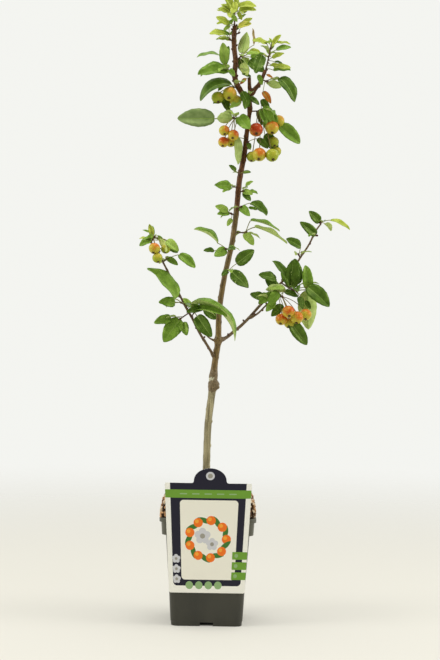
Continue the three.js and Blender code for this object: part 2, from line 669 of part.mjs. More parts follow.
// Pot: one lofted shell up the outside, over the lip and down the inside, with its drains cut out
function potSolid() {
  const { wall, floor } = POT;
  const rings = [
    squareRing(POT.baseHalf, 0),
    squareRing(bodyHalf(POT.ledge), POT.ledge),
    squareRing(bodyHalf(POT.ledge) + 0.8, POT.ledge + 0.8),
    squareRing(POT.bodyTopHalf, POT.bodyTop),
    squareRing(POT.collarHalf, POT.bodyTop + 2),
    squareRing(POT.collarTopHalf, POT.collarTop),
    squareRing(POT.lipHalf, POT.collarTop + 1),
    squareRing(POT.lipHalf, POT.height - 0.8),
    squareRing(POT.lipHalf - 0.8, POT.height),
    squareRing(POT.collarHalf - wall + 0.8, POT.height),
    squareRing(POT.collarHalf - wall, POT.height - 0.8),
    squareRing(POT.collarHalf - wall, POT.bodyTop + 2),
    squareRing(POT.bodyTopHalf - wall, POT.bodyTop),
    squareRing(POT.baseHalf - wall, floor),
  ];
  let pot = solid(loft(rings));
  const reach = POT.baseHalf + 5;
  for (let side = 0; side < 4; side += 1) {
    const notch = boxSolid(
      -DRAIN.width / 2, DRAIN.width / 2, -reach, -POT.baseHalf + wall + DRAIN.depth, -1, DRAIN.height);
    pot = pot.subtract(notch.rotate([0, 0, 90 * side]));
    const hole = new THREE.CylinderGeometry(DRAIN.holeRadius, DRAIN.holeRadius, 3 * floor, 8);
    hole.rotateX(Math.PI / 2).translate(DRAIN.holePlace, DRAIN.holePlace, 0);
    pot = pot.subtract(solid(hole).rotate([0, 0, 90 * side]));
  }
  return mainBody(pot);
}

// Growing mix: it fills the pot, and bark mulch is heaped above the rim in low lumps
function mulchSolid() {
  const inner = (half) => half - POT.wall - GAP;
  const random = seededRandom(5);
  const lumpy = (half, z, corner) => squareRing(half, z, corner).map((p) => (
    p.setZ(p.z + MULCH.relief * (random() - 0.5))));
  const edgeHalf = inner(POT.collarHalf);
  const rings = [
    squareRing(inner(POT.baseHalf), POT.floor + GAP),
    squareRing(inner(POT.bodyTopHalf), POT.bodyTop),
    squareRing(inner(POT.collarHalf), POT.bodyTop + 2.5),
    squareRing(edgeHalf, POT.height + GAP),
    squareRing(MULCH.rimHalf, POT.height + GAP),
    ...MULCH.rings.map(([half, z]) => lumpy(half, z, Math.min(16, 0.5 * half))),
    squareRing(MULCH.crownHalf, MULCH.crown, 0.5 * MULCH.crownHalf),
  ];
  const hookSlot = boxSolid(-CARD.hookHalf - 1, CARD.hookHalf + 1, -MULCH.rimHalf - 1, -edgeHalf + 2,
    POT.height - CARD.hookDepth - 1, POT.height + 3);
  return mainBody(solid(loft(rings)).subtract(hookSlot));
}

// Label card: a flat printed sheet that leans on the rim and on the pot's front, with a rounded tab
// on its top edge and a hook behind it that goes over the rim
function cardOutline() {
  const { topHalf, bottomHalf, height, tabHalf, tabHeight, tabShift, tabFillet } = CARD;
  const domeFoot = height + tabFillet;
  const domeTop = height + tabHeight;
  const shape = new THREE.Shape();
  shape.moveTo(-bottomHalf + 4, 0);
  shape.lineTo(bottomHalf - 4, 0);
  shape.quadraticCurveTo(bottomHalf, 0, bottomHalf + 0.3, 4);
  shape.lineTo(topHalf, height - 3);
  shape.quadraticCurveTo(topHalf, height, topHalf - 3, height);
  shape.lineTo(tabShift + tabHalf + tabFillet, height);
  shape.quadraticCurveTo(tabShift + tabHalf, height, tabShift + tabHalf, domeFoot);
  shape.bezierCurveTo(tabShift + tabHalf, domeFoot + 0.55 * (tabHeight - tabFillet),
    tabShift + 0.55 * tabHalf, domeTop, tabShift, domeTop);
  shape.bezierCurveTo(tabShift - 0.55 * tabHalf, domeTop, tabShift - tabHalf,
    domeFoot + 0.55 * (tabHeight - tabFillet), tabShift - tabHalf, domeFoot);
  shape.quadraticCurveTo(tabShift - tabHalf, height, tabShift - tabHalf - tabFillet, height);
  shape.lineTo(-topHalf + 3, height);
  shape.quadraticCurveTo(-topHalf, height, -topHalf, height - 3);
  shape.lineTo(-bottomHalf - 0.3, 4);
  shape.quadraticCurveTo(-bottomHalf, 0, -bottomHalf + 4, 0);
  return shape;
}

function cardSolid() {
  const seat = -POT.lipHalf - GAP;
  const foot = -bodyHalf(CARD.bottom) - 2 * GAP;
  const lean = Math.atan2(foot - seat, POT.collarTop + 1 - CARD.bottom);
  const sheet = new THREE.ExtrudeGeometry(
    cardOutline(), { depth: CARD.thickness, bevelEnabled: false, curveSegments: 6 });
  sheet.rotateX(Math.PI / 2 + lean);
  sheet.translate(0, foot, CARD.bottom);
  const hookFace = -(POT.collarHalf - POT.wall) + GAP;
  const level = POT.height + 1;
  const hook = new THREE.Shape([
    [seat - 2, level], [hookFace, level], [hookFace, POT.height - CARD.hookDepth],
    [hookFace + 0.9, POT.height - CARD.hookDepth], [hookFace + 0.9, level + 0.9],
    [seat - 2, level + 0.9],
  ].map(([y, z]) => new THREE.Vector2(y, z)));
  const strip = new THREE.ExtrudeGeometry(hook, { depth: 2 * CARD.hookHalf, bevelEnabled: false });
  strip.applyMatrix4(new THREE.Matrix4().set(0, 0, 1, -CARD.hookHalf, 1, 0, 0, 0, 0, 1, 0, 0, 0, 0, 0, 1));
  return mainBody(solid(sheet).add(solid(strip)));
}

// Assembly
const tree = new THREE.Group();

function addPart(name, manifold, colour, roughness = 0.7) {
  const material = new THREE.MeshStandardMaterial({ color: colour, roughness, metalness: 0 });
  const mesh = new THREE.Mesh(geometryOf(manifold), material);
  mesh.name = name;
  tree.add(mesh);
}

addPart('pot', potSolid(), COLOUR.pot, 0.6);
addPart('mulch', mulchSolid(), COLOUR.mulch, 0.95);
addPart('label_card', cardSolid(), COLOUR.card, 0.4);
for (const [name, limb] of Object.entries(LIMBS)) {
  const body = limb.on ? limbSolid(name).subtract(limbSolid(limb.on, GAP)) : limbSolid(name);
  addPart(name, mainBody(body), limb.colour);
}

// The masses that bear fruit take their space first
const masses = Object.entries(MASSES).sort(([, a], [, b]) => b.fruits.length - a.fruits.length);
for (const [name, mass] of masses) {
  addPart(`leaves_${name}`, massSolid(name, mass), mass.limb === 'leader' ? COLOUR.young : COLOUR.leaf);
}

export default tree;
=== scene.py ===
# %% [markdown]
# # A young crabapple tree in its nursery pot
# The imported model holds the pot, its growing mix, the label card, the trunk, the boughs and 31 masses
# of leaves as plain solids, each at its true place and size. A render of those solids looks like
# folded card. This lesson keeps every place and makes the looks: leaf blades with their outline,
# thin stalks and fruits, bark with its relief, a moulded pot, bark chips and a printed card.

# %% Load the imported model
import math

import bpy
import numpy as np
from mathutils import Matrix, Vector, noise


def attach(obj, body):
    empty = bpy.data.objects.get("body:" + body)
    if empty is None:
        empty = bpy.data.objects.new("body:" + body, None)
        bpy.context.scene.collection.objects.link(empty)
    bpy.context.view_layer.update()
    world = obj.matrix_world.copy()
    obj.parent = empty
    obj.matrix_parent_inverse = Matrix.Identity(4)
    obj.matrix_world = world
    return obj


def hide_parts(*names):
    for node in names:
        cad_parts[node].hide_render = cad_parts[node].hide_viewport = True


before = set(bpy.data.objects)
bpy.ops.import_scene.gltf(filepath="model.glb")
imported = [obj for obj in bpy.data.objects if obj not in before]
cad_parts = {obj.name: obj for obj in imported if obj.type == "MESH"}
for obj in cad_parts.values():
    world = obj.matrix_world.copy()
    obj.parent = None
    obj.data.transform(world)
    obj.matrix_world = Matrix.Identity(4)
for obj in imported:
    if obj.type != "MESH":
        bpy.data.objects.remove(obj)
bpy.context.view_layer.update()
MM = 0.001

# %% [markdown]
# ## The camera
# The photograph was taken level, at about the height of the tree's lowest fork, from nearly three
# metres away, so the verticals stay upright and the pot's top shows only as a thin strip. The camera
# was held a little askew, which a turn about its own line of sight repeats.

# %% Camera
CAMERA = {"x": 17.4, "distance": 2900, "height": 567.5, "lens": 80.7, "roll": 0.9}
bpy.ops.object.camera_add(
    location=(CAMERA["x"] * MM, -CAMERA["distance"] * MM, CAMERA["height"] * MM),
    rotation=(math.radians(90), -math.radians(CAMERA["roll"]), 0),
)
camera = bpy.context.object
camera.name = "photo_camera"
camera.data.lens = CAMERA["lens"]
bpy.context.scene.camera = camera
print("camera at", tuple(round(c, 3) for c in camera.location))

# %% [markdown]
# ## Materials from nodes
# Each finish is a Principled shader with noise on Object coordinates, which stay put when the model
# is seen from another side. Small helpers keep the recipes short: one adds a node and links its
# sockets, one starts a material with its plain values, and others add noise, a colour ramp between two
# shades, a mix and a bump.

# %% Node helpers
def add_node(material, kind, sockets=None, **settings):
    """A new node; a socket's value that is another node's output becomes a link"""
    node = material.node_tree.nodes.new("ShaderNode" + kind)
    for name, value in settings.items():
        setattr(node, name, value)
    for name, value in (sockets or {}).items():
        if isinstance(value, bpy.types.NodeSocket):
            material.node_tree.links.new(value, node.inputs[name])
        else:
            node.inputs[name].default_value = value
    return node


def shader_of(material):
    return material.node_tree.nodes["Principled BSDF"]


def link(material, output, socket):
    material.node_tree.links.new(output, shader_of(material).inputs[socket])


def start_material(name, roughness, **sockets):
    """A Principled material whose plain values are set on the shader's own sockets"""
    material = bpy.data.materials.new(name)
    material.use_nodes = True
    shader = shader_of(material)
    shader.inputs["Roughness"].default_value = roughness
    for socket, value in sockets.items():
        shader.inputs[socket.replace("_", " ")].default_value = value
    return material


def place_noise(material, scale, detail=3.0, stretch=(1, 1, 1)):
    """Noise on the piece's own coordinates, so many cells a metre, stretched along an axis"""
    place = add_node(material, "TexCoord").outputs["Object"]
    mapping = add_node(material, "Mapping", {"Vector": place, "Scale": stretch})
    sockets = {"Vector": mapping.outputs["Vector"], "Scale": scale, "Detail": detail}
    return add_node(material, "TexNoise", sockets).outputs["Fac"]


def ramp(material, value, stops):
    """A colour ramp from a list of places and linear colours"""
    node = add_node(material, "ValToRGB", {"Fac": value})
    elements = node.color_ramp.elements
    while len(elements) < len(stops):
        elements.new(0.5)
    for element, (place, colour) in zip(elements, stops):
        element.position = place
        element.color = (*colour, 1)
    return node.outputs["Color"]


def mix(material, share, first, second):
    """Two colours mixed by a share"""
    node = add_node(material, "Mix", data_type="RGBA")
    sockets = [s for s in node.inputs if s.enabled]
    for socket, value in zip(sockets, (share, first, second)):
        if isinstance(value, bpy.types.NodeSocket):
            material.node_tree.links.new(value, socket)
        else:
            socket.default_value = value if isinstance(value, float) else (*value, 1)
    return next(s for s in node.outputs if s.enabled)


def bump(material, height, strength, distance):
    """Small relief in the shading, on top of the mesh's own shape"""
    sockets = {"Height": height, "Strength": strength, "Distance": distance}
    return add_node(material, "Bump", sockets).outputs["Normal"]


# %% [markdown]
# ## A plain studio
# The photograph is lit from both sides and from behind against a seamless off-white sweep, with
# hardly a shadow but the one under the pot, and the room behind the camera is dim. A pale floor that
# fades into an even pale world gives the same background from every side. The world's light falls off
# towards the front, and three wide lights give the leaves their gloss and the pot its soft shadow.

# %% Floor, world and lights
WORLD_COLOUR = (0.905, 0.91, 0.875)
FLOOR_COLOUR = (0.50, 0.485, 0.43)
FLOOR_GLOW = {"colour": (0.90, 0.87, 0.79, 1), "strength": 0.265}
FLOOR_SIZE = 24.0
FLOOR_FADE = (0.5, 3.4)
ROOM = {"front": -1.0, "back": 0.1, "dim": 0.34, "bright": 0.98}

bpy.ops.object.select_all(action="DESELECT")
bpy.ops.mesh.primitive_plane_add(size=FLOOR_SIZE)
floor = bpy.context.object
floor.name = "studio_floor"
floor_paint = start_material(
    "studio_paper", 0.9, Base_Color=(*FLOOR_COLOUR, 1), Emission_Color=FLOOR_GLOW["colour"],
    Emission_Strength=FLOOR_GLOW["strength"])
floor_place = add_node(floor_paint, "TexCoord").outputs["Object"]
floor_distance = add_node(floor_paint, "VectorMath", {0: floor_place}, operation="LENGTH")
floor_fade = add_node(floor_paint, "MapRange", {
    "Value": floor_distance.outputs["Value"], "From Min": FLOOR_FADE[0], "From Max": FLOOR_FADE[1],
}, interpolation_type="SMOOTHSTEP")
clear = add_node(floor_paint, "BsdfTransparent")
blend = add_node(floor_paint, "MixShader", {
    0: floor_fade.outputs["Result"], 1: shader_of(floor_paint).outputs["BSDF"], 2: clear.outputs["BSDF"]})
floor_output = floor_paint.node_tree.nodes["Material Output"]
floor_paint.node_tree.links.new(blend.outputs["Shader"], floor_output.inputs["Surface"])
floor.data.materials.append(floor_paint)

world = bpy.data.worlds.new("studio_world")
world.use_nodes = True
world.node_tree.nodes["Background"].inputs["Color"].default_value = (*WORLD_COLOUR, 1)
heading = add_node(world, "SeparateXYZ", {0: add_node(world, "TexCoord").outputs["Generated"]})
room = add_node(world, "MapRange", {
    "Value": heading.outputs["Y"], "From Min": ROOM["front"], "From Max": ROOM["back"],
    "To Min": ROOM["dim"], "To Max": ROOM["bright"],
}, interpolation_type="SMOOTHSTEP")
seen = add_node(world, "LightPath").outputs["Is Camera Ray"]
glow = add_node(world, "Mix", {0: seen, 2: room.outputs["Result"], 3: 1.0})
world.node_tree.links.new(glow.outputs[0], world.node_tree.nodes["Background"].inputs["Strength"])
bpy.context.scene.world = world
bpy.context.scene.view_settings.view_transform = "Standard"


def add_soft_light(name, place, aim, size, watts):
    """A wide square light that points at a place on the object"""
    bpy.ops.object.light_add(type="AREA", location=place)
    light = bpy.context.object
    light.name = name
    light.data.shape = "SQUARE"
    light.data.size = size
    light.data.energy = watts
    light.rotation_euler = (Vector(aim) - Vector(place)).to_track_quat("-Z", "Y").to_euler()


MIDDLE = (0.0, 0.0, 0.7)
add_soft_light("light_left", (-2.6, -1.0, 1.9), MIDDLE, 1.3, 34)
add_soft_light("light_right", (2.8, -0.6, 1.7), MIDDLE, 1.3, 32)
add_soft_light("light_top", (0.2, -0.6, 3.2), MIDDLE, 1.5, 26)
print("stage ready")

# %% [markdown]
# ## How the tree grows
# Each leaf has to sit on its own twig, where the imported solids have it. The tree's own rule is
# written again here: limbs are smooth curves through a few points, and each mass of foliage is one
# short stem with a list of leaves and fruits, and more leaves dealt round it by the golden angle.
# The same seeds give the same tree. All its lengths are in millimetres.

# %% Clearances and proportions of the rule
GAP = 0.3
LEAF_CLEARANCE = 4
LIMB_CLEARANCE = 1.5
LEAF = {"width": 0.56, "width_spread": 0.24, "fold": 0.42}
STEM = {"root": 1.7, "tip": 1.2, "bare": 0.45, "step": 16, "sag": 0.12}
FILL = {
    "climb": (-5, 45), "size": (0.6, 0.4), "stalk": (0.25, 0.2), "hang": 0.45, "tilt": 0.6, "droop": (20, 40),
}
GOLDEN_ANGLE = 137.5
STEP = 25
MULCH_CROWN = 238

# %% [markdown]
# The limbs: points [x, y, z] along each centreline, the radius at its root and tip, and the trunk's
# swellings as [height, spread, extra radius].

# %% Limbs
LIMBS = {
    "trunk": {
        "path": [[-6, 0, 238], [-5, 0, 300], [-3, 0, 384], [3, 0, 440], [8, 0, 500], [14, 0, 547],
            [15, 0, 600], [24, 0, 669], [38, 0, 736], [45, 0, 790], [51, 0, 860], [60, 0, 915],
            [65, 0, 966], [69, 0, 1000], [67, 0, 1063]],
        "root": 7.4, "tip": 2.8,
        "swellings": [[238, 9, 5], [425, 45, 0.5], [462, 14, 2.2], [547, 6, 2.6], [860, 110, 0.8],
            [1003, 7, 1]],
    },
    "leader": {
        "path": [[68, 0, 1018], [53, 1, 1033], [42, 4, 1053], [38, 7, 1072], [40, 10, 1094], [37, 12, 1119],
            [36, 13, 1140], [37, 14, 1166]],
        "root": 4.8, "tip": 3.8,
    },
    "bough_left": {
        "path": [[8, 0, 513], [-7, -13, 537], [-22, -24, 561], [-36, -33, 588], [-49, -41, 610],
            [-63, -48, 637], [-86, -58, 681], [-94, -61, 696], [-104, -64, 716], [-117, -66, 733]],
        "root": 2.8, "tip": 1.6,
    },
    "bough_right": {
        "path": [[14, 0, 547], [30, 8, 553], [48, 18, 568], [57, 23, 575], [73, 32, 591], [93, 42, 614],
            [129, 58, 654], [158, 68, 686], [172, 73, 708], [180, 76, 721], [192, 79, 739],
            [209, 82, 773], [217, 83, 784]],
        "root": 3.4, "tip": 1.6,
    },
    "bough_right_second": {
        "path": [[73, 32, 591], [91, 26, 601], [106, 20, 616], [120, 15, 629]],
        "root": 2.2, "tip": 1.5,
    },
    "crown_twig": {
        "path": [[68, 0, 1030], [78, -8, 1039], [88, -16, 1051], [98, -24, 1074]],
        "root": 4.2, "tip": 2.6,
    },
    "fork_twig": {
        "path": [[14, 0, 545], [2, -8, 549], [-6, -15, 554], [-13, -20, 562]],
        "root": 1.9, "tip": 1.2,
    },
}

# %% [markdown]
# The masses of foliage: where each grows on its limb, its stem's heading, turn and length, then its
# leaves as [stalk's heading, stalk, blade's heading, blade's turn, blade, side it faces, droop], and
# where it bears any, its fruits as [right, towards the viewer, up, radius] from the stem's tip.

# %% Masses
MASSES = {
    "left_tip": {
        "limb": "bough_left", "stem": [62, 0, 11], "seed": 11, "fill": 3, "leaf": 30,
        "leaves": [[170, 8, 178, 0, 18, 35, 25], [105, 6, 104, 10, 24, 60, 15], [200, 6, 215, 35, 30, 70, 30],
            [-20, 10, -58, 30, 34, -50, 40], [-12, 26, -42, 20, 34, 80, 20]],
        "fruits": [[2, 15, -22, 10], [23, 4, -22, 8.5], [34, -8, -17, 8.5], [8, 13, -40, 9]],
    },
    "left_upper": {
        "limb": "bough_left", "at": 697, "stem": [28, 10, 8], "seed": 12, "fill": 2, "leaf": 30,
        "leaves": [[60, 4, -32, 15, 26, 75, 20], [22, 24, -38, 5, 42, 60, 55]],
    },
    "left_mid": {
        "limb": "bough_left", "at": 615, "stem": [150, 45, 9], "seed": 13, "fill": 3, "leaf": 40,
        "leaves": [[172, 14, 182, 40, 40, 80, 12], [122, 11, 136, 8, 83, 125, 20]],
    },
    "left_inner": {
        "limb": "bough_left", "at": 592, "stem": [58, 45, 22], "seed": 15, "fill": 2, "leaf": 40,
        "leaves": [[-48, 8, -54, 22, 54, 100, 12], [100, 12, 165, 10, 30, -60, 15],
            [15, 14, 192, 25, 34, 60, 20],
            [30, 4, -14, 20, 64, 40, 45], [20, 10, -47, 30, 104, -28, 62]],
    },
    "left_low": {
        "limb": "bough_left", "at": 600, "stem": [216, 15, 18], "seed": 14, "fill": 2, "leaf": 40,
        "leaves": [[188, 24, 196, 25, 38, 75, 30], [215, 5, 236, 18, 57, 78, 18],
            [-70, 8, -68, 25, 30, 75, 12]],
    },
    "trunk_low": {
        "limb": "trunk", "at": 682, "stem": [20, 50, 7], "seed": 16, "fill": 2, "leaf": 32,
        "leaves": [[200, 2, 220, 45, 22, 80, 10], [42, 20, 38, 20, 46, 80, 15],
            [-30, 5, -44, 30, 54, 88, 12]],
    },
    "trunk_mid_left": {
        "limb": "trunk", "at": 724, "stem": [165, 40, 7], "seed": 17, "fill": 2, "leaf": 28,
        "leaves": [[158, 24, 150, 0, 54, 50, 45], [200, 2, 212, 42, 36, 88, 5],
            [190, 24, 182, 10, 22, 55, 20],
            [10, 4, -10, 55, 26, 70, 5]],
    },
    "trunk_mid_right": {
        "limb": "trunk", "at": 758, "stem": [4, 5, 19], "seed": 18, "fill": 2, "leaf": 34,
        "leaves": [[-10, 4, -52, 15, 32, 65, 25], [28, 22, -27, 16, 76, -14, 24],
            [70, 24, -18, -12, 64, 22, 30]],
    },
    "trunk_upper_left": {
        "limb": "trunk", "at": 793, "stem": [165, 30, 6], "seed": 19, "fill": 2, "leaf": 24,
        "leaves": [[-100, 10, -118, 30, 20, 85, 5], [168, 5, 186, 20, 26, 65, 20],
            [150, 8, 158, 15, 28, 70, 15]],
    },
    "trunk_upper_right": {
        "limb": "trunk", "at": 806, "stem": [20, 45, 7], "seed": 20, "fill": 2, "leaf": 26,
        "leaves": [[0, 3, -50, 45, 36, 88, 8], [-5, 16, -12, 0, 18, 50, 15], [22, 20, -36, 0, 42, 48, 55]],
    },
    "trunk_high_left": {
        "limb": "trunk", "at": 846, "stem": [165, 25, 6], "seed": 21, "fill": 2, "leaf": 22,
        "leaves": [[205, 6, 205, 20, 22, 50, 20], [172, 6, 182, 38, 42, 85, 10]],
    },
    "trunk_high_right": {
        "limb": "trunk", "at": 838, "stem": [10, 45, 7], "seed": 22, "fill": 2, "leaf": 22,
        "leaves": [[20, 3, -20, 30, 24, 80, 10], [-35, 4, -50, 30, 26, 80, 10], [5, 14, -18, 0, 18, 45, 15],
            [60, 12, 30, 20, 18, 60, 10]],
    },
    "trunk_buds": {
        "limb": "trunk", "at": 868, "stem": [110, 50, 5], "seed": 23, "fill": 1, "leaf": 16,
        "leaves": [[140, 9, 142, 20, 19, 65, 15], [15, 8, 0, 30, 18, 65, 10]],
    },
    "trunk_node": {
        "limb": "trunk", "at": 936, "stem": [0, 65, 5], "seed": 24, "fill": 1, "leaf": 18,
        "leaves": [[-80, 2, -72, 30, 18, 78, 10]],
    },
    "right_tip": {
        "limb": "bough_right", "stem": [70, 0, 4], "seed": 25, "fill": 2, "leaf": 34,
        "leaves": [[165, 3, 138, 25, 35, 84, 15], [14, 18, -26, 5, 46, 45, 55]],
    },
    "right_side": {
        "limb": "bough_right", "at": 760, "stem": [0, 60, 11], "seed": 42, "fill": 1, "leaf": 28,
        "leaves": [[150, 2, 143, 18, 44, 82, 15]],
    },
    "right_upper": {
        "limb": "bough_right", "at": 715, "stem": [120, 25, 5], "seed": 26, "fill": 2, "leaf": 32,
        "leaves": [[76, 16, 152, 15, 36, 65, 25]],
    },
    "right_cluster": {
        "limb": "bough_right", "at": 664, "stem": [-32, 45, 46], "seed": 27, "fill": 3, "leaf": 42,
        "leaves": [[128, 10, 124, 5, 66, 40, 30], [72, 2, 88, 14, 58, 84, 12], [50, 14, 96, 0, 52, 62, 20],
            [15, 28, -42, 10, 60, 68, 32], [4, 24, -87, -4, 78, -75, 10], [-60, 12, -75, 25, 28, 75, 10]],
    },
    "right_inner": {
        "limb": "bough_right_second", "stem": [195, 0, 7], "seed": 29, "fill": 2, "leaf": 34,
        "leaves": [[190, 3, 228, 40, 40, 75, 20], [110, 13, 190, 20, 36, 70, 25],
            [150, 8, 165, -20, 34, 75, 20]],
    },
    "right_fruit": {
        "limb": "bough_right", "at": 640, "stem": [-12, 62, 46], "seed": 28, "fill": 0, "leaf": 34,
        "leaves": [[95, 34, 168, 15, 38, 60, 25], [42, 18, 178, 15, 42, -60, 20],
            [215, 14, 232, 20, 30, 85, 12], [-72, 50, -53, -8, 60, 82, 12]],
        "fruits": [[12, 16, -30, 11.2], [-1, 2, -45, 10.8], [29, 8, -41, 11.8], [47, -6, -35, 10.8],
            [15, -8, -52, 9.8]],
    },
    "crown_left_low": {
        "limb": "trunk", "at": 976, "stem": [168, 25, 28], "seed": 30, "fill": 2, "leaf": 40,
        "leaves": [[100, 6, -54, 40, 46, 85, 15], [180, 44, 180, 0, 74, 84, 5],
            [182, 6, 187, 45, 44, -78, 15],
            [-86, 32, -84, 0, 60, -8, 8]],
        "fruits": [[-19, 5, -26, 9.6], [-20, -6, -47, 9.8], [-1, 8, -35, 9.8], [-6, -14, -45, 9.8]],
    },
    "crown_left": {
        "limb": "leader", "at": 1044, "stem": [185, 25, 9], "seed": 31, "fill": 2, "leaf": 36,
        "leaves": [[130, 6, 209, 10, 81, 35, 95], [210, 30, -60, -15, 38, 60, 15],
            [-120, 30, 200, 15, 26, 55, 20]],
        "fruits": [[-29, 8, -22, 11.2], [-6, 12, -15, 12.7], [6, 2, -27, 10.8]],
    },
    "crown_front": {
        "limb": "trunk", "at": 1026, "stem": [-120, 70, 8], "seed": 43, "fill": 1, "leaf": 30,
        "leaves": [[130, 6, -98, 30, 36, 88, 10], [-30, 6, -40, 25, 22, 78, 15]],
    },
    "leader_left": {
        "limb": "leader", "at": 1068, "stem": [145, 15, 15], "seed": 33, "fill": 3, "leaf": 38,
        "leaves": [[172, 5, 192, 20, 64, 55, 30], [125, 16, 96, 15, 42, 60, 30],
            [120, 33, 186, 0, 48, 25, 45],
            [-30, 3, -55, 45, 28, 70, 20]],
    },
    "leader_right": {
        "limb": "leader", "at": 1096, "stem": [40, 25, 12], "seed": 34, "fill": 2, "leaf": 34,
        "leaves": [[-62, 12, -66, 20, 30, -70, 10], [20, 12, 0, 25, 30, 45, 25],
            [68, 8, 78, -20, 50, -85, 12],
            [42, 34, 96, 0, 34, 14, 12]],
    },
    "twig_tip": {
        "limb": "crown_twig", "stem": [78, 5, 42], "bare": 0.1, "seed": 35, "fill": 3, "leaf": 30,
        "leaves": [[0, 7, -5, 20, 22, 65, 15], [-30, 14, -5, 5, 34, 50, 20], [30, 10, 15, 25, 26, 70, 15],
            [160, 14, -108, 25, 46, 85, 10], [35, 16, 8, 10, 30, 50, 25], [112, 15, 170, 20, 32, 50, 30],
            [60, 8, 50, 15, 26, 60, 20]],
    },
    "twig_mid": {
        "limb": "crown_twig", "at": 1056, "stem": [-15, 20, 8], "seed": 36, "fill": 2, "leaf": 32,
        "leaves": [[-100, 22, -58, 15, 30, 65, 25], [-40, 6, -18, 10, 28, -65, 15],
            [14, 25, -56, 0, 60, 45, 72]],
    },
    "crown_right_low": {
        "limb": "trunk", "at": 997, "stem": [2, 5, 20], "seed": 37, "fill": 3, "leaf": 36,
        "leaves": [[30, 10, -72, 25, 38, 78, 15], [0, 18, -48, 15, 32, 72, 20],
            [-55, 20, -68, 10, 32, 80, 12],
            [-78, 46, -50, -8, 42, 80, 15], [-40, 42, -37, -10, 58, 70, 18]],
        "fruits": [[-10, 14, -39, 12.3], [21, 8, -34, 12.3], [34, -2, -19, 10.8], [-17, 0, -90, 9.8],
            [-3, 12, -87, 12.3],
            [22, 12, -88, 11.8], [25, -6, -60, 9.8], [30, -14, -77, 9.8]],
    },
    "leader_top": {
        "limb": "leader", "at": 1134, "stem": [150, 20, 6], "seed": 38, "fill": 2, "leaf": 28,
        "leaves": [[190, 3, 174, 15, 24, 55, 25], [130, 14, 180, 10, 34, 50, 40],
            [98, 30, 152, 10, 28, 60, 25]],
    },
    "leader_high": {
        "limb": "leader", "at": 1148, "stem": [25, 20, 6], "seed": 41, "fill": 2, "leaf": 26,
        "leaves": [[70, 14, 34, 15, 28, 60, 20]],
    },
    "top_shoot": {
        "limb": "leader", "stem": [93, 0, 40], "bare": 0.25, "seed": 39, "fill": 5, "leaf": 30,
        "leaves": [[190, 7, 176, 15, 30, 60, 20], [0, 6, -4, 20, 28, 65, 20], [160, 9, 165, 20, 26, 60, 20],
            [150, 9, 150, 10, 22, 55, 20], [120, 5, 125, 20, 34, 65, 15], [20, 10, -2, 10, 36, 55, 50],
            [60, 6, 62, 15, 26, 55, 20]],
    },
}

# %% [markdown]
# A curve that passes through every point without loops is a centripetal Catmull-Rom spline. Points
# at equal distances along it carry the taper and the swellings.

# %% The limbs' curves
CURVE_SAMPLES = 200


def unit(v):
    return v / np.linalg.norm(v)


def spline_point(points, t):
    """A place on the centripetal Catmull-Rom spline, t from 0 to 1"""
    place = (len(points) - 1) * t
    i = min(int(place), len(points) - 2)
    share = place - i
    p1, p2 = points[i], points[i + 1]
    p0 = points[i - 1] if i > 0 else 2 * points[0] - points[1]
    p3 = points[i + 2] if i + 2 < len(points) else 2 * points[-1] - points[-2]
    d0, d1, d2 = (math.sqrt(np.linalg.norm(b - a)) for a, b in ((p0, p1), (p1, p2), (p2, p3)))
    start = d1 * ((p1 - p0) / d0 - (p2 - p0) / (d0 + d1) + (p2 - p1) / d1)
    end = d1 * ((p2 - p1) / d1 - (p3 - p1) / (d1 + d2) + (p3 - p2) / d2)
    bend = -3 * p1 + 3 * p2 - 2 * start - end
    return p1 + share * (start + share * (bend + share * (2 * p1 - 2 * p2 + start + end)))


def limb_shape(limb, step):
    """Points about a step apart along a limb, with the radius at each"""
    path = [np.array(p, float) for p in limb["path"]]
    shares = np.linspace(0, 1, CURVE_SAMPLES + 1)
    samples = np.array([spline_point(path, t) for t in shares])
    lengths = np.concatenate([[0], np.cumsum(np.linalg.norm(np.diff(samples, axis=0), axis=1))])
    count = max(4, math.floor(lengths[-1] / step + 0.5))
    even = np.interp(np.linspace(0, lengths[-1], count + 1), lengths, shares)
    points = np.array([spline_point(path, t) for t in even])
    radii = limb["root"] + (limb["tip"] - limb["root"]) * np.arange(count + 1) / count
    for height, spread, extra in limb.get("swellings", ()):
        radii = radii + extra * np.exp(-(((points[:, 2] - height) / spread) ** 2))
    return points, radii


shapes = {name: limb_shape(limb, STEP) for name, limb in LIMBS.items()}
shapes["trunk"][0][0][2] = MULCH_CROWN + GAP
print({name: len(points) for name, (points, radii) in shapes.items()})

# %% [markdown]
# A leaf is known by where its stalk starts, where its blade starts, the blade's direction and upper
# side, its length, droop and width. Its blade bends down evenly from base to tip and folds along
# the midrib.

# %% Leaves of the rule
def seeded_random(seed):
    """Repeatable random numbers from 0 to 1"""
    state = (seed * 2654435761) & 0xFFFFFFFF

    def draw():
        nonlocal state
        state = (state * 1664525 + 1013904223) & 0xFFFFFFFF
        return state / 4294967296

    return draw


def amount(draw, span):
    """A random amount, from the least it can be and how much more"""
    return span[0] + span[1] * draw()


def direction(heading, turn):
    """A direction from its heading in the picture plane and its turn towards the viewer"""
    h, t = math.radians(heading), math.radians(turn)
    return np.array([math.cos(t) * math.cos(h), -math.sin(t), math.cos(t) * math.sin(h)])


def half_width(t):
    return 3.13 * t**0.72 * (1 - t) ** 0.95


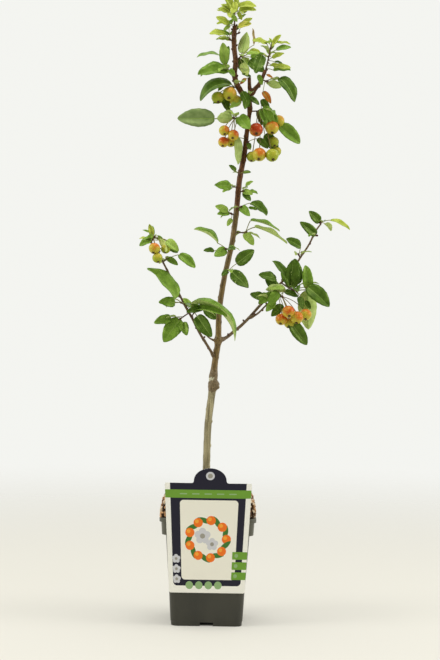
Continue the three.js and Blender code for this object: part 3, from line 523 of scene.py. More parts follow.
def blade_frame(leaf, t):
    """The blade's place, direction, upper side and right side at a share of its length"""
    bend = math.radians(leaf["droop"])
    turn = bend * (t - 0.5)
    along = leaf["along"] * math.cos(turn) - leaf["up"] * math.sin(turn)
    up = leaf["up"] * math.cos(turn) + leaf["along"] * math.sin(turn)
    safe = max(bend, 1e-3)
    forward = (math.sin(safe * (t - 0.5)) + math.sin(safe / 2)) / safe
    rise = (math.cos(safe * (t - 0.5)) - math.cos(safe / 2)) / safe
    at = leaf["base"] + (leaf["along"] * forward + leaf["up"] * rise) * leaf["length"]
    return at, along, up, np.cross(along, up)


def blade_point(leaf, t, across):
    at, _, up, side = blade_frame(leaf, t)
    reach = across * leaf["length"] * leaf["width"] * 0.5 * half_width(t)
    return at + side * reach * math.cos(LEAF["fold"]) + up * abs(reach) * math.sin(LEAF["fold"])


def facing_of(face):
    """The way an upper side faces: 0 is straight up, 90 is towards the viewer"""
    return np.array([0, -math.sin(math.radians(face)), math.cos(math.radians(face))])


def upper_side(aim, facing):
    """The direction square to a blade's aim that is nearest to the way it faces"""
    return unit(facing - aim * facing.dot(aim))


def make_leaf(start, stalk_aim, stalk, aim, length, facing, droop, draw):
    width = LEAF["width"] * (1 + LEAF["width_spread"] * (draw() - 0.5))
    return {
        "from": start, "base": start + stalk_aim * stalk, "along": aim, "up": upper_side(aim, facing),
        "length": length, "droop": droop, "width": width,
    }


def leaf_samples(leaf):
    """Points all over a leaf and its stalk, to test whether its place is free"""
    count = 6 + int(leaf["length"] / 8)
    samples = [blade_point(leaf, i / count, side / 3) for i in range(1, count + 1) for side in range(-3, 4)]
    samples += [leaf["from"] + (leaf["base"] - leaf["from"]) * share for share in (0.5, 0.8, 1)]
    return np.array(samples)


def distance_to_limb(places, points, radii):
    """How far the nearest of some places is from a limb's bark"""
    start, along = points[:-1], np.diff(points, axis=0)
    share = np.einsum("psk,sk->ps", places[:, None] - start, along) / (along**2).sum(axis=1)
    nearest = start + np.clip(share, 0, 1)[..., None] * along
    distance = np.linalg.norm(places[:, None] - nearest, axis=2)
    return (distance - np.maximum(radii[:-1], radii[1:])).min()


# %% [markdown]
# Each mass in turn grows its stem, its listed leaves, the leaves of the seeded rule and its fruits.
# A leaf that would touch a limb or another mass is skipped, so the space of every mass stays its own.
# The masses that bear the most fruits take their space first.

# %% Growing the masses
taken = []


def place_on(name, height):
    """A place on a limb, its tip or the point at a height, with the radius there"""
    points, radii = shapes[name]
    if height is None:
        return points[-1] + GAP * unit(points[-1] - points[-2]), radii[-1]
    i = next(i for i, p in enumerate(points) if p[2] >= height)
    share = (height - points[i - 1][2]) / (points[i][2] - points[i - 1][2])
    return points[i - 1] + (points[i] - points[i - 1]) * share, radii[i]


def is_blocked(samples, mass):
    """Whether a leaf would touch a limb or another mass"""
    if any(distance_to_limb(samples, *shape) < LIMB_CLEARANCE for shape in shapes.values()):
        return True
    for other_mass, other, middle, reach in taken:
        if other_mass == mass:
            continue
        near = samples[np.linalg.norm(samples - middle, axis=1) < reach + LEAF_CLEARANCE]
        if len(near) and np.linalg.norm(near[:, None] - other, axis=2).min() < LEAF_CLEARANCE:
            return True
    return False


def take(samples, mass):
    middle = samples.mean(axis=0)
    taken.append((mass, samples, middle, np.linalg.norm(samples - middle, axis=1).max()))


def grow_mass(name, mass):
    draw = seeded_random(mass["seed"])
    at, radius = place_on(mass["limb"], mass.get("at"))
    heading, turn, length = mass["stem"]
    aim = direction(heading, turn)
    bark = radius if "at" in mass else 0

    def stem_point(share):
        sag = np.array([0, 0, STEM["sag"] * length * share * (share - 1)])
        return at + aim * (bark + length * share) + sag

    leaves = []

    def try_leaf(leaf, **facts):
        samples = leaf_samples(leaf)
        if not is_blocked(samples, name):
            take(samples, name)
            leaves.append({**leaf, **facts})

    bare = mass.get("bare", STEM["bare"])
    for i, (stalk_heading, stalk, heading, turn, blade, face, droop) in enumerate(mass["leaves"]):
        share = bare + (1 - bare) * (i + 1) / len(mass["leaves"])
        facing = facing_of(face)
        stalk_aim = direction(stalk_heading, 0.5 * turn)
        leaf = make_leaf(
            stem_point(share), stalk_aim, stalk, direction(heading, turn), blade, facing, droop, draw)
        try_leaf(leaf, place=i)
    for i in range(mass["fill"]):
        around = math.radians(mass["seed"] * 40 + i * GOLDEN_ANGLE)
        climb = math.radians(amount(draw, FILL["climb"]))
        blade = mass["leaf"] * amount(draw, FILL["size"])
        out = np.array([
            math.cos(around) * math.cos(climb), math.sin(around) * math.cos(climb), math.sin(climb)])
        hang = unit(out - np.array([0, 0, FILL["hang"]]))
        facing = np.array([FILL["tilt"] * (draw() - 0.5), FILL["tilt"] * (draw() - 0.5), 1])
        start = stem_point(0.5 + 0.5 * draw())
        stalk = blade * amount(draw, FILL["stalk"])
        droop = amount(draw, FILL["droop"])
        try_leaf(make_leaf(start, out, stalk, hang, blade, facing, droop, draw), place=-1)

    fruits = []
    for right, near, up, size in mass.get("fruits", ()):
        start = stem_point(0.6 + 0.4 * draw())
        fruits.append({"from": start, "at": stem_point(1) + np.array([right, -near, up]), "size": size})
    for fruit in fruits:
        poles = fruit["size"] * np.vstack([-np.eye(3), np.eye(3)])
        take(np.vstack([fruit["at"], fruit["at"] + poles]), name)
    steps = max(1, math.floor(length / STEM["step"] + 0.5))
    stem = [stem_point(i / steps) for i in range(steps + 1)]
    stem.insert(0, at + aim * 0.4 * bark if bark else at - aim * 2)
    return {"stem": stem, "leaves": leaves, "fruits": fruits, "aim": aim}


grown = {}
for name, mass in sorted(MASSES.items(), key=lambda item: -len(item[1].get("fruits", ()))):
    grown[name] = grow_mass(name, mass)
print(sum(len(g["leaves"]) for g in grown.values()), "leaves,",
      sum(len(g["fruits"]) for g in grown.values()), "fruits")

# %% [markdown]
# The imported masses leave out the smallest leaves. This table lists them by where they show: the
# blade's base and tip as right and up in the picture plane, how near the viewer it sits, its turn
# towards the viewer, its width, the side it faces, its droop and its tint, and for a few a fold. Each
# hangs on a fine stalk from the nearest wood. Three long leaves of the masses are listed again here,
# because their curl shows: the rule's own ones are taken out.

# %% The finer leaves
FINE_LEAVES = {
    "top_shoot": [
        [45, 1195, 79, 1197, -10, 0, 0.50, 62, 65, "young"],
        [54, 1190, 62, 1196, -4, 0, 0.55, 60, 20, "young"],
        [34, 1199, 37, 1216, -14, 0, 0.55, -60, 20, "young"],
        [32, 1169, 1, 1170, -12, 0, 0.46, 60, 60, "young"],
        [32, 1201, 15, 1208, -10, 0, 0.50, 65, 40, "young"],
        [24, 1192, 1, 1198, -16, 0, 0.28, 50, 30, "young"],
        [36, 1198, 30, 1184, 0, 45, 0.62, 80, 20, "young"],
        [28, 1166, 15, 1156, -8, 0, 0.55, 70, 25, "light"],
        [44, 1163, 70, 1169, -6, 10, 0.62, 62, 35, "yellow"],
        [40, 1160, 47, 1170, -18, 0, 0.55, 80, 10, "mid"],
        [36, 1212, 39, 1190, -5, 20, 0.56, 82, 15, "young"],
        [30, 1186, 42, 1172, -5, 15, 0.58, 80, 15, "light"],
        [43, 1193, 51, 1177, -7, 0, 0.50, 75, 15, "young"],
        [34, 1178, 24, 1166, -6, 0, 0.50, 75, 15, "mid"],
        [45, 1180, 59, 1189, -9, 0, 0.42, 65, 20, "light"],
        [38, 1196, 42, 1222, -11, 0, 0.42, -70, 15, "young"],
    ],
    "leader_top": [
        [28, 1149, -5, 1152, -12, 0, 0.32, 60, 50, "mid"],
        [26, 1140, 0, 1139, -8, 0, 0.36, 65, 30, "mid"],
        [35, 1158, 27, 1150, -20, 0, 0.55, 75, 10, "light"],
    ],
    "leader_right": [
        [107, 1122, 82, 1125, 26, 0, 0.34, 40, 95, "young"],
        [66, 1115, 88, 1114, -8, 15, 0.62, 75, 20, "young"],
        [69, 1106, 96, 1113, -16, 0, 0.52, 70, 25, "mid"],
        [60, 1104, 66, 1090, -12, 0, 0.56, 78, 15, "light"],
        [44, 1103, 60, 1072, -20, 0, 0.56, 80, 15, "dark"],
        [54, 1080, 66, 1068, 4, 0, 0.60, -65, 15, "light"],
        [66, 1097, 96, 1073, -2, 15, 0.62, 82, 20, "dark"],
    ],
    "twig_tip": [
        [116, 1126, 146, 1125, 28, 0, 0.24, 55, 40, "young"],
        [115, 1126, 121, 1136, 26, 0, 0.60, 70, 20, "young"],
        [114, 1126, 110, 1117, 32, 30, 0.60, 75, 20, "young"],
        [110, 1128, 96, 1125, 30, 0, 0.50, 60, 30, "light"],
        [107, 1105, 98, 1121, 18, 0, 0.50, 70, 20, "light"],
        [109, 1129, 104, 1137, 24, 0, 0.50, 65, 20, "young"],
        [113, 1124, 106, 1112, 24, 10, 0.55, 75, 20, "light"],
        [113, 1098, 127, 1104, 22, 0, 0.40, 65, 20, "dark"],
        [115, 1090, 130, 1088, 26, 0, 0.42, 65, 25, "dark"],
        [113, 1075, 147, 1075, 20, 0, 0.44, 60, 35, "mid"],
        [100, 1065, 112, 1059, 26, 0, 0.45, 70, 20, "rusty"],
    ],
    "twig_mid": [
        [100, 1051, 119, 1042, 20, 0, 0.46, -60, 20, "mid"],
        [84, 1065, 92, 1045, 22, 0, 0.58, 75, 15, "mid"],
    ],
    "crown_right_low": [
        [69, 1023, 85, 1012, 12, 0, 0.55, 75, 15, "dark"],
        [91, 1020, 107, 998, 4, 0, 0.60, 78, 15, "dark"],
        [97, 1006, 115, 971, 14, 0, 0.50, 75, 20, "mid"],
        [83, 998, 94, 970, -4, 0, 0.36, 70, 15, "dark"],
        [84, 943, 106, 924, 4, 0, 0.58, 75, 20, "dark"],
        [58, 935, 68, 923, -8, 0, 0.60, 75, 10, "dark"],
    ],
    "crown_front": [
        [53, 1033, 68, 1003, 16, 0, 0.58, 82, 15, "dark"],
        [61, 1060, 49, 1048, 8, 0, 0.50, 70, 20, "rusty"],
        [70, 1064, 52, 1070, 2, 0, 0.42, 70, 20, "dark"],
        [52, 1015, 29, 1001, 14, 0, 0.52, 70, 20, "light"],
    ],
    "crown_left": [
        [16, 1044, 6, 1034, 12, 0, 0.60, 78, 10, "dark"],
        [4, 1089, -29, 1065, -6, 0, 0.42, 60, 30, "dark"],
    ],
    "leader_left": [
        [29, 1085, -5, 1071, -2, 0, 0.44, 55, 30, "light"],
        [18, 1088, 26, 1127, -14, 0, 0.38, 70, 45, "mid"],
    ],
    "crown_left_low": [
        [34, 996, 9, 974, 12, 0, 0.52, -70, 15, "mid"],
        [49, 943, 47, 896, 12, 0, 0.26, -70, 20, "light"],
    ],
    "left_tip": [
        [-116, 751, -134, 757, 64, 0, 0.30, 60, 20, "mid"],
        [-113, 747, -115, 766, 58, 0, 0.32, 65, 20, "mid"],
        [-114, 748, -127, 732, 70, 0, 0.58, 70, 20, "mid"],
    ],
    "left_upper": [
        [-104, 747, -91, 726, 62, 0, 0.38, 70, 15, "mid"],
        [-81, 732, -66, 713, 60, 35, 0.64, 85, 10, "dark"],
        [-89, 707, -78, 695, 60, 0, 0.58, -65, 15, "light"],
    ],
    "trunk_mid_left": [
        [10, 737, -37, 763, 10, 0, 0.62, 16, 45, "mid", 0.6],
    ],
    "left_mid": [
        [-68, 625, -124, 684, 68, 0, 0.60, 24, 30, "mid", 0.5],
        [-71, 618, -96, 617, 44, 30, 0.72, 75, 15, "mid"],
        [-39, 611, -55, 628, 44, 0, 0.56, 60, 20, "light"],
    ],
    "left_inner": [
        [-40, 616, 46, 546, 52, 0, 0.40, 8, 95, "mid", 0.6],
        [-39, 615, -16, 605, 30, 0, 0.60, 80, 10, "dark"],
        [-14, 611, 9, 588, 12, 0, 0.76, 78, 15, "dark"],
    ],
    "right_cluster": [
        [154, 662, 138, 687, -60, 0, 0.55, 80, 10, "dark"],
        [143, 646, 172, 636, -38, 0, 0.50, 60, 20, "dark"],
        [185, 628, 196, 612, -26, 0, 0.58, 75, 15, "dark"],
        [153, 655, 118, 706, -34, 0, 0.40, 30, 65, "dark"],
        [191, 650, 185, 699, -36, 0, 0.50, 55, 45, "mid"],
    ],
    "right_inner": [
        [131, 649, 105, 670, -20, 0, 0.66, 75, 20, "dark"],
        [143, 651, 111, 649, -8, 0, 0.34, 50, 30, "light"],
        [126, 641, 92, 620, -14, 0, 0.52, 65, 30, "mid"],
        [131, 645, 112, 618, -8, 10, 0.62, 75, 20, "mid"],
        [108, 642, 90, 632, -24, 0, 0.40, 60, 20, "light"],
        [141, 619, 118, 596, -26, 10, 0.64, 80, 15, "dark"],
    ],
}
WOOD_STEP = 2
STEM_PLACES = 6
wood = [limb_shape(limb, WOOD_STEP)[0] for limb in LIMBS.values()]
for mass in grown.values():
    stem = mass["stem"]
    wood += [np.linspace(a, b, STEM_PLACES) for a, b in zip(stem[1:], stem[2:])]
wood = np.vstack(wood)


def fine_leaf(x, z, tip_x, tip_z, near, turn, width, face, droop, tint, fold=None):
    """A leaf whose blade runs from its base to its tip as the table's row says"""
    bend = math.radians(droop)
    heading = math.degrees(math.atan2(tip_z - z, tip_x - x))
    straight = math.hypot(tip_x - x, tip_z - z) / math.cos(math.radians(turn))
    base = np.array([x, -near, z], float)
    aim = direction(heading, turn)
    start = wood[np.argmin(np.linalg.norm(wood - base, axis=1))]
    return {"from": start, "base": base, "along": aim, "up": upper_side(aim, facing_of(face)),
            "length": straight * bend / 2 / math.sin(bend / 2), "droop": droop, "width": width,
            "tint": tint, "fold": fold, "place": -1}


# %% Put them with the rule's leaves
LISTED_AGAIN = [("left_mid", 1), ("left_inner", 4), ("trunk_mid_left", 0)]
for name, place in LISTED_AGAIN:
    grown[name]["leaves"] = [leaf for leaf in grown[name]["leaves"] if leaf["place"] != place]
for name, rows in FINE_LEAVES.items():
    grown[name]["leaves"].extend(fine_leaf(*row) for row in rows)
print(sum(len(rows) for rows in FINE_LEAVES.values()), "finer leaves")

# %% [markdown]
# ## Joined meshes
# A tree has hundreds of small closed shapes. A piece of its own for each would be slow, so shapes of
# one kind are collected as lists of vertices and faces and become one mesh. Each face keeps the
# number of its finish.

# %% Collecting small shapes
class Batch:
    """Vertices, faces and finishes of many small closed shapes, in millimetres"""

    def __init__(self):
        self.vertices = []
        self.faces = []
        self.finishes = []

    def add(self, vertices, faces, finish):
        start = len(self.vertices)
        self.vertices.extend(vertices)
        self.faces.extend([start + i for i in face] for face in faces)
        self.finishes.extend([finish] * len(faces) if isinstance(finish, int) else finish)

    def piece(self, name, materials, slot):
        mesh = bpy.data.meshes.new(name)
        mesh.from_pydata([tuple(MM * c for c in v) for v in self.vertices], [], self.faces)
        for material in materials:
            mesh.materials.append(material)
        mesh.polygons.foreach_set("material_index", self.finishes)
        mesh.polygons.foreach_set("use_smooth", [True] * len(self.faces))
        mesh.update()
        piece = bpy.data.objects.new(name, mesh)
        bpy.context.scene.collection.objects.link(piece)
        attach(piece, "root")
        print(name, len(self.vertices), "vertices", sum(len(f) - 2 for f in self.faces), "triangles")
        return piece


def ring_frames(points):
    """Two directions across a line of points at each point, carried along without twisting"""
    across = np.array([0.0, 1.0, 0.0])
    frames = []
    for i, _ in enumerate(points):
        along = unit(points[min(i + 1, len(points) - 1)] - points[max(i - 1, 0)])
        across = unit(across - along * across.dot(along))
        frames.append((across, np.cross(along, across)))
    return frames


def tube_faces(rings, sides):
    """Faces of a closed tube with flat ends, pointing outwards"""
    faces = []
    for ring in range(rings - 1):
        for k in range(sides):
            a, b = ring * sides + k, ring * sides + (k + 1) % sides
            faces.append([a, b, b + sides, a + sides])
    last = (rings - 1) * sides
    return [*faces, list(range(sides))[::-1], list(range(last, last + sides))]


def spoke(across, other, angle):
    """A direction across a line, turned round the line by an angle"""
    return across * math.cos(angle) + other * math.sin(angle)


def tube(points, radii, sides):
    points = [np.asarray(p, float) for p in points]
    vertices = []
    for point, radius, (across, other) in zip(points, radii, ring_frames(points)):
        for k in range(sides):
            angle = 2 * math.pi * k / sides
            vertices.append(point + spoke(across, other, angle) * radius)
    return vertices, tube_faces(len(points), sides)


# %% [markdown]
# ## Bark
# The young trunk has three skins. The rootstock below the graft is olive grey and a little furrowed.
# The graft union bulges, keeps a pale rest of its tape, and has a knob to the right where the stock
# was cut. Above it the scion is smooth brown, nearly black towards the crown. A fine tube with its
# own relief replaces each limb: noise stretched along the wood, a ring at each fork, and small
# spurs. Buds and scars make the trunk's upper part, the leader and the crown's twig look stouter
# than their solids, so their skin is a little thicker, and each bough has a collar at its foot.

# %% Bark finishes
def bark_material(name, dark, pale, roughness, streak=(1, 1, 0.12), sheen=0.0, scale=520, gloss=0.4):
    material = start_material(
        name, roughness, Specular_IOR_Level=gloss, Sheen_Weight=sheen, Sheen_Roughness=0.3)
    streaks = place_noise(material, scale, 4, streak)
    colour = ramp(material, streaks, [(0.3, dark), (0.7, pale)])
    freckles = place_noise(material, 900, 2)
    spots = ramp(material, freckles, [(0.66, (0, 0, 0)), (0.74, (1, 1, 1))])
    lenticel = tuple(min(1, 1.7 * c + 0.03) for c in pale)
    link(material, mix(material, spots, colour, lenticel), "Base Color")
    link(material, bump(material, streaks, 0.5, 0.0006), "Normal")
    return material


BARKS = [
    bark_material(
        "bark_rootstock", (0.075, 0.055, 0.016), (0.49, 0.43, 0.235), 0.42, (1, 1, 0.07), 1.0, 240),
    bark_material("bark_graft_union", (0.09, 0.06, 0.024), (0.27, 0.195, 0.10), 0.6, (1, 1, 0.6), 0.5),
    bark_material("graft_tape_rest", (0.40, 0.38, 0.24), (0.66, 0.63, 0.46), 0.4, (0.3, 0.3, 1)),
    bark_material("bark_scion", (0.075, 0.043, 0.010), (0.27, 0.175, 0.055), 0.42, sheen=0.3),
    bark_material(
        "bark_crown", (0.028, 0.010, 0.003), (0.21, 0.084, 0.025), 0.5, (1, 1, 0.5), gloss=0.2),
    bark_material("bark_boughs", (0.055, 0.030, 0.010), (0.21, 0.13, 0.05), 0.45, (1, 1, 0.5)),
    bark_material("cut_wood", (0.16, 0.10, 0.05), (0.30, 0.21, 0.12), 0.8, (1, 1, 1)),
]
ROOTSTOCK, UNION, TAPE, SCION, CROWN_BARK, BOUGH_BARK, CUT_WOOD = range(len(BARKS))
BOUGH_FINISHES = {"leader": CROWN_BARK, "crown_twig": CROWN_BARK}
print(len(BARKS), "barks")

# %% The relief of the bark
UNION_HEIGHT = 467
UNION_REACH = 21
UNION_LUMPS = 0.9
UNION_LIP = {"height": 481, "reach": 9, "out": 1.5}
KNOB = {"height": 458, "reach": 8, "right": 0.93, "near": 0.37, "out": 5.6, "lumps": 2.5}
TAPE_BAND = (2, 8)
CROWN_DARKENS = 800
SPURS = [(300, 40, 1.0), (341, -8, 1.7), (388, 5, 1.8), (412, 200, 1.1), (528, 190, 1.4), (583, 20, 1.0),
         (632, 185, 1.2), (655, 160, 1.1), (742, 10, 1.3), (770, 200, 1.2), (880, 185, 1.3), (900, 15, 1.2),
         (948, 190, 1.2)]
FORKS = [513, 547, 682, 724, 758, 793, 806, 838, 846, 868, 936, 976, 997, 1003, 1026, 1044, 1068, 1096,
         1134, 1148]
RELIEF = {"streaks": 0.035, "lumps": 0.05}
FORK_RING = {"out": 0.45, "reach": 2.2}
SPUR_REACH = 2.4


def bell(away, reach, power=2):
    """A smooth hump: 1 in its middle, nearly 0 past its reach, flatter on top with more power"""
    return math.exp(-((away / reach) ** power))


def bark_relief(point, radius):
    """How far the bark stands out at a place, in millimetres"""
    place = Vector(point) * 0.05
    streaks = noise.noise(Vector((place.x * 9, place.y * 9, place.z * 0.9)))
    lumps = noise.noise(place * 1.6)
    relief = radius * (RELIEF["streaks"] * streaks + RELIEF["lumps"] * lumps)
    for height in FORKS:
        relief += FORK_RING["out"] * bell(point[2] - height, FORK_RING["reach"])
    return relief


def trunk_relief(point, out, radius):
    """The trunk adds the graft union, its knob and the spurs, at a place that faces outwards"""
    z = point[2]
    relief = bark_relief(point, radius)
    union = bell(z - UNION_HEIGHT, UNION_REACH, 4)
    rough = noise.noise(Vector(point) * 0.22) + 0.5 * noise.noise(Vector(point) * 0.5)
    lip = bell(z - UNION_LIP["height"], UNION_LIP["reach"])
    relief += union * UNION_LUMPS * rough + UNION_LIP["out"] * lip
    facing = max(0.0, KNOB["right"] * out[0] - KNOB["near"] * out[1]) ** 3
    knob = facing * bell(z - KNOB["height"], KNOB["reach"], 4)
    relief += (KNOB["out"] + KNOB["lumps"] * rough) * knob
    for height, heading, size in SPURS:
        side = max(0.0, out[0] * math.cos(math.radians(heading)) - out[1] * math.sin(math.radians(heading)))
        relief += size * side**6 * bell(z - height, SPUR_REACH)
    return relief


def trunk_finish(z, out):
    """Which bark covers the trunk at a height"""
    edge = 5 * noise.noise(Vector((out[0], out[1], z * 0.02)) * 2)
    if z < UNION_HEIGHT - UNION_REACH + edge:
        return ROOTSTOCK
    if TAPE_BAND[0] < z - UNION_HEIGHT - edge < TAPE_BAND[1] and out[0] < 0.2:
        return TAPE
    if z < UNION_HEIGHT + UNION_REACH + 2 * edge:
        return UNION
    return SCION if z < CROWN_DARKENS + 14 * edge else CROWN_BARK


# %% Trunk and boughs
BARK_STEP = 2.2
TRUNK_SIDES = 28
BOUGH_SIDES = 16
TRUNK_SUNK = 5
FLARE = {"share": 0.55, "at": 7, "reach": 6}
BARK_STOUT = {"trunk": (1.05, 1.05, 1.05, 1.15, 1.25), "leader": (1.2, 1.2), "crown_twig": (1.12, 1.2)}


def bark_radii(name, radii):
    """A limb's radii with the skin that buds and scars thicken, from its root to its tip"""
    stout = BARK_STOUT.get(name, (1, 1))
    return radii * np.interp(np.linspace(0, 1, len(radii)), np.linspace(0, 1, len(stout)), stout)


limbs = Batch()
for name, limb in LIMBS.items():
    points, radii = limb_shape(limb, BARK_STEP)
    radii = bark_radii(name, radii)
    sides = TRUNK_SIDES if name == "trunk" else BOUGH_SIDES
    if name == "trunk":
        points[0][2] -= TRUNK_SUNK
    else:
        walked = np.arange(len(points)) * BARK_STEP
        radii = radii * (1 + FLARE["share"] * np.exp(-(((walked - FLARE["at"]) / FLARE["reach"]) ** 2)))
    vertices, finishes = [], []
    for point, radius, (across, other) in zip(points, radii, ring_frames(points)):
        for k in range(sides):
            angle = 2 * math.pi * k / sides
            out = spoke(across, other, angle)
            place = point + out * radius
            if name == "trunk":
                relief, finish = trunk_relief(place, out, radius), trunk_finish(place[2], out)
            else:
                relief, finish = bark_relief(place, radius), BOUGH_FINISHES.get(name, BOUGH_BARK)
            vertices.append(point + out * (radius + relief))
            finishes.append(finish)
    faces = tube_faces(len(points), sides)
    limbs.add(vertices, faces, [*finishes[:len(faces) - 2], CUT_WOOD, CUT_WOOD])
limbs_piece = limbs.piece("trunk_and_boughs", BARKS, "bark")
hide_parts(*LIMBS)

# %% [markdown]
# ## Leaf blades
# A crabapple leaf is an oval with a fine-toothed edge and a drawn-out tip. Its upper side is a glossy
# green, its lower side pale and dull, with a pale midrib. Each blade is two thin sheets of some
# seventy faces that meet at the outline, so both sides take their own finish, and a narrow strip down
# the middle is the midrib. A slight wave and twist make no two alike.

# %% Shape of a blade
STATIONS = [0.015, 0.05, 0.11, 0.18, 0.26, 0.35, 0.44, 0.53, 0.62, 0.71, 0.79, 0.87, 0.93, 0.975]
TOOTH = 0.018
THICKNESS = 0.35
WAVE = 0.03
WAVY_LENGTH = 45
FOLDS = (0.25, 0.4)
TWIST = 0.35
MID_BLADE = 0.55
CUP = (1.25, 0.35)


def oval(t):
    """Half the width of a full, blunt blade at a share of its length"""
    share = t**0.85
    return 2.52 * share**0.62 * (1 - share) ** 0.72


def leaf_mesh(leaf, draw):
    """Vertices and faces of a leaf, upper faces first, then lower faces, then the edge"""
    length = leaf["length"]
    phase = draw()
    usual_fold = amount(draw, FOLDS)
    fold = leaf.get("fold") or usual_fold
    twist = TWIST * (draw() - 0.5)
    wave = WAVE * min(length, WAVY_LENGTH) * (0.4 + draw())
    upper = []
    for i, t in enumerate(STATIONS):
        at, _, up, side = blade_frame(leaf, t)
        angle = twist * (t - 0.5)
        turned = side * math.cos(angle) + up * math.sin(angle)
        up = up * math.cos(angle) - side * math.sin(angle)
        reach = 0.5 * length * leaf["width"] * oval(t)
        rib = min(0.5, (0.012 * (1 - t) + 0.004) * length / max(reach, 0.1))
        tooth = 1 + TOOTH * (-1) ** i * (0.1 < t < 0.95)
        for across in (-tooth, -MID_BLADE, -rib, rib, MID_BLADE, tooth):
            out = abs(across)
            rise = reach * out * math.sin(fold) * (CUP[0] - CUP[1] * out)
            ripple = wave * out**2 * math.sin(2 * math.pi * (2 * t + phase) + (across > 0))
            upper.append(at + turned * across * reach * math.cos(fold) + up * (rise + ripple))
    tip = blade_point(leaf, 1, 0)
    thick = THICKNESS * (0.5 + length / 100)
    lower = [p - leaf["up"] * thick for p in upper]
    count, wide = len(upper), 6
    vertices = [*upper, *lower, tip]
    end = 2 * count
    top, under, edge = [], [], []
    for i in range(len(STATIONS) - 1):
        for k in range(wide - 1):
            a = i * wide + k
            top.append([a, a + 1, a + wide + 1, a + wide])
            b = a + count
            under.append([b + wide, b + wide + 1, b + 1, b])
        for k in (0, wide - 1):
            a, b = i * wide + k, (i + 1) * wide + k
            quad = [a, b, b + count, a + count]
            edge.append(quad if k == 0 else quad[::-1])
    last = count - wide
    for k in range(wide - 1):
        top.append([last + k, last + k + 1, end])
        under.append([end, last + k + 1 + count, last + k + count])
    edge.append([last, end, last + count])
    edge.append([last + wide - 1 + count, end, last + wide - 1])
    base = list(range(wide))
    under.append([*base[::-1], *[b + count for b in base]])
    return vertices, top, under, edge


# %% [markdown]
# Autumn and youth give the leaves their tints. A tint is a plain base colour with a little mottling,
# and it is dealt out by leaf: dark and mid greens on the old leaves, where the dark green is partly
# painted shade on leaves in shadow, a paler green that is partly painted light on leaves lit from
# behind, yellow green on the young shoots, and a few dull, rusty or tan ones.

# %% Leaf finishes
LEAF_GLOSS = (0.8, 1.0, 0.25, 1)


def leaf_material(name, dark, pale, roughness, gloss):
    material = start_material(name, roughness, Specular_IOR_Level=gloss, Specular_Tint=LEAF_GLOSS)
    blotches = place_noise(material, 90, 3)
    link(material, ramp(material, blotches, [(0.3, dark), (0.7, pale)]), "Base Color")
    cells = place_noise(material, 700, 2)
    link(material, bump(material, cells, 0.25, 0.0005), "Normal")
    return material


# The dark and light tints are partly real and partly painted shade and painted light.
TINTS = {
    "dark": ((0.046, 0.100, 0.011), (0.105, 0.195, 0.022)),
    "mid": ((0.115, 0.22, 0.022), (0.23, 0.39, 0.048)),
    "light": ((0.24, 0.38, 0.055), (0.38, 0.53, 0.10)),
    "dull": ((0.17, 0.25, 0.08), (0.27, 0.36, 0.13)),
    "young": ((0.34, 0.42, 0.040), (0.52, 0.58, 0.090)),
    "yellow": ((0.54, 0.52, 0.07), (0.70, 0.66, 0.14)),
    "rusty": ((0.32, 0.085, 0.008), (0.54, 0.17, 0.02)),
    "tan": ((0.38, 0.25, 0.10), (0.56, 0.38, 0.20)),
}
UNDERSIDES = {
    "pale": ((0.36, 0.47, 0.13), (0.54, 0.65, 0.22)),
    "young_pale": ((0.50, 0.60, 0.16), (0.66, 0.74, 0.24)),
    "rib": ((0.20, 0.32, 0.06), (0.32, 0.44, 0.11)),
}
leaf_materials = [leaf_material("leaf_" + name, *pair, 0.30, 0.40) for name, pair in TINTS.items()]
leaf_materials += [leaf_material("leaf_" + name, *pair, 0.6, 0.2) for name, pair in UNDERSIDES.items()]
LEAF_FINISH = {name: i for i, name in enumerate([*TINTS, *UNDERSIDES])}
print(len(leaf_materials), "leaf finishes")

# %% Which leaf has which tint
MASS_TINTS = {
    "top_shoot": "young", "leader_top": "young", "leader_high": "young", "leader_left": "light mid young",
    "leader_right": "light young mid light", "twig_tip": "young light young", "left_tip": "light mid young",
    "crown_left": "dark mid",
}
# Each listed leaf takes the tint of its brightness, so a dark tint here partly paints shade and a light tint
# partly paints light.
LEAF_TINTS = {
    ("twig_mid", 0): "rusty", ("right_tip", 1): "young", ("leader_right", 3): "tan",
    ("left_inner", 0): "dark", ("left_mid", 0): "mid",
    ("left_low", 0): "mid", ("left_low", 1): "mid", ("left_low", 2): "mid", ("left_upper", 0): "mid",
    ("right_cluster", 3): "dark", ("right_inner", 1): "mid", ("right_fruit", 3): "dark",
    ("trunk_low", 0): "dark", ("trunk_low", 1): "dark", ("trunk_low", 2): "dark",
    ("trunk_mid_left", 1): "mid", ("trunk_mid_left", 2): "dark", ("trunk_mid_left", 3): "dark",
    ("trunk_mid_right", 0): "light", ("trunk_upper_right", 0): "mid", ("twig_tip", 3): "dark",
    ("twig_tip", 4): "mid", ("twig_tip", 5): "young", ("leader_left", 0): "mid", ("leader_left", 1): "light",
    ("leader_left", 2): "mid", ("crown_left_low", 1): "dull",
}
COMMON_TINTS = "dark mid dark mid mid light"
LEAF_WIDTHS = {
    ("right_tip", 1): 0.5, ("leader_right", 3): 0.35, ("trunk_mid_right", 1): 0.62,
    ("trunk_mid_right", 2): 0.6, ("crown_left", 0): 0.82, ("crown_left_low", 3): 0.8,
    ("left_low", 2): 1.45,
}


def tint_of(name, leaf, draw):
    chosen = LEAF_TINTS.get((name, leaf["place"]))
    choices = MASS_TINTS.get(name, COMMON_TINTS).split()
    return chosen or choices[int(draw() * len(choices))]


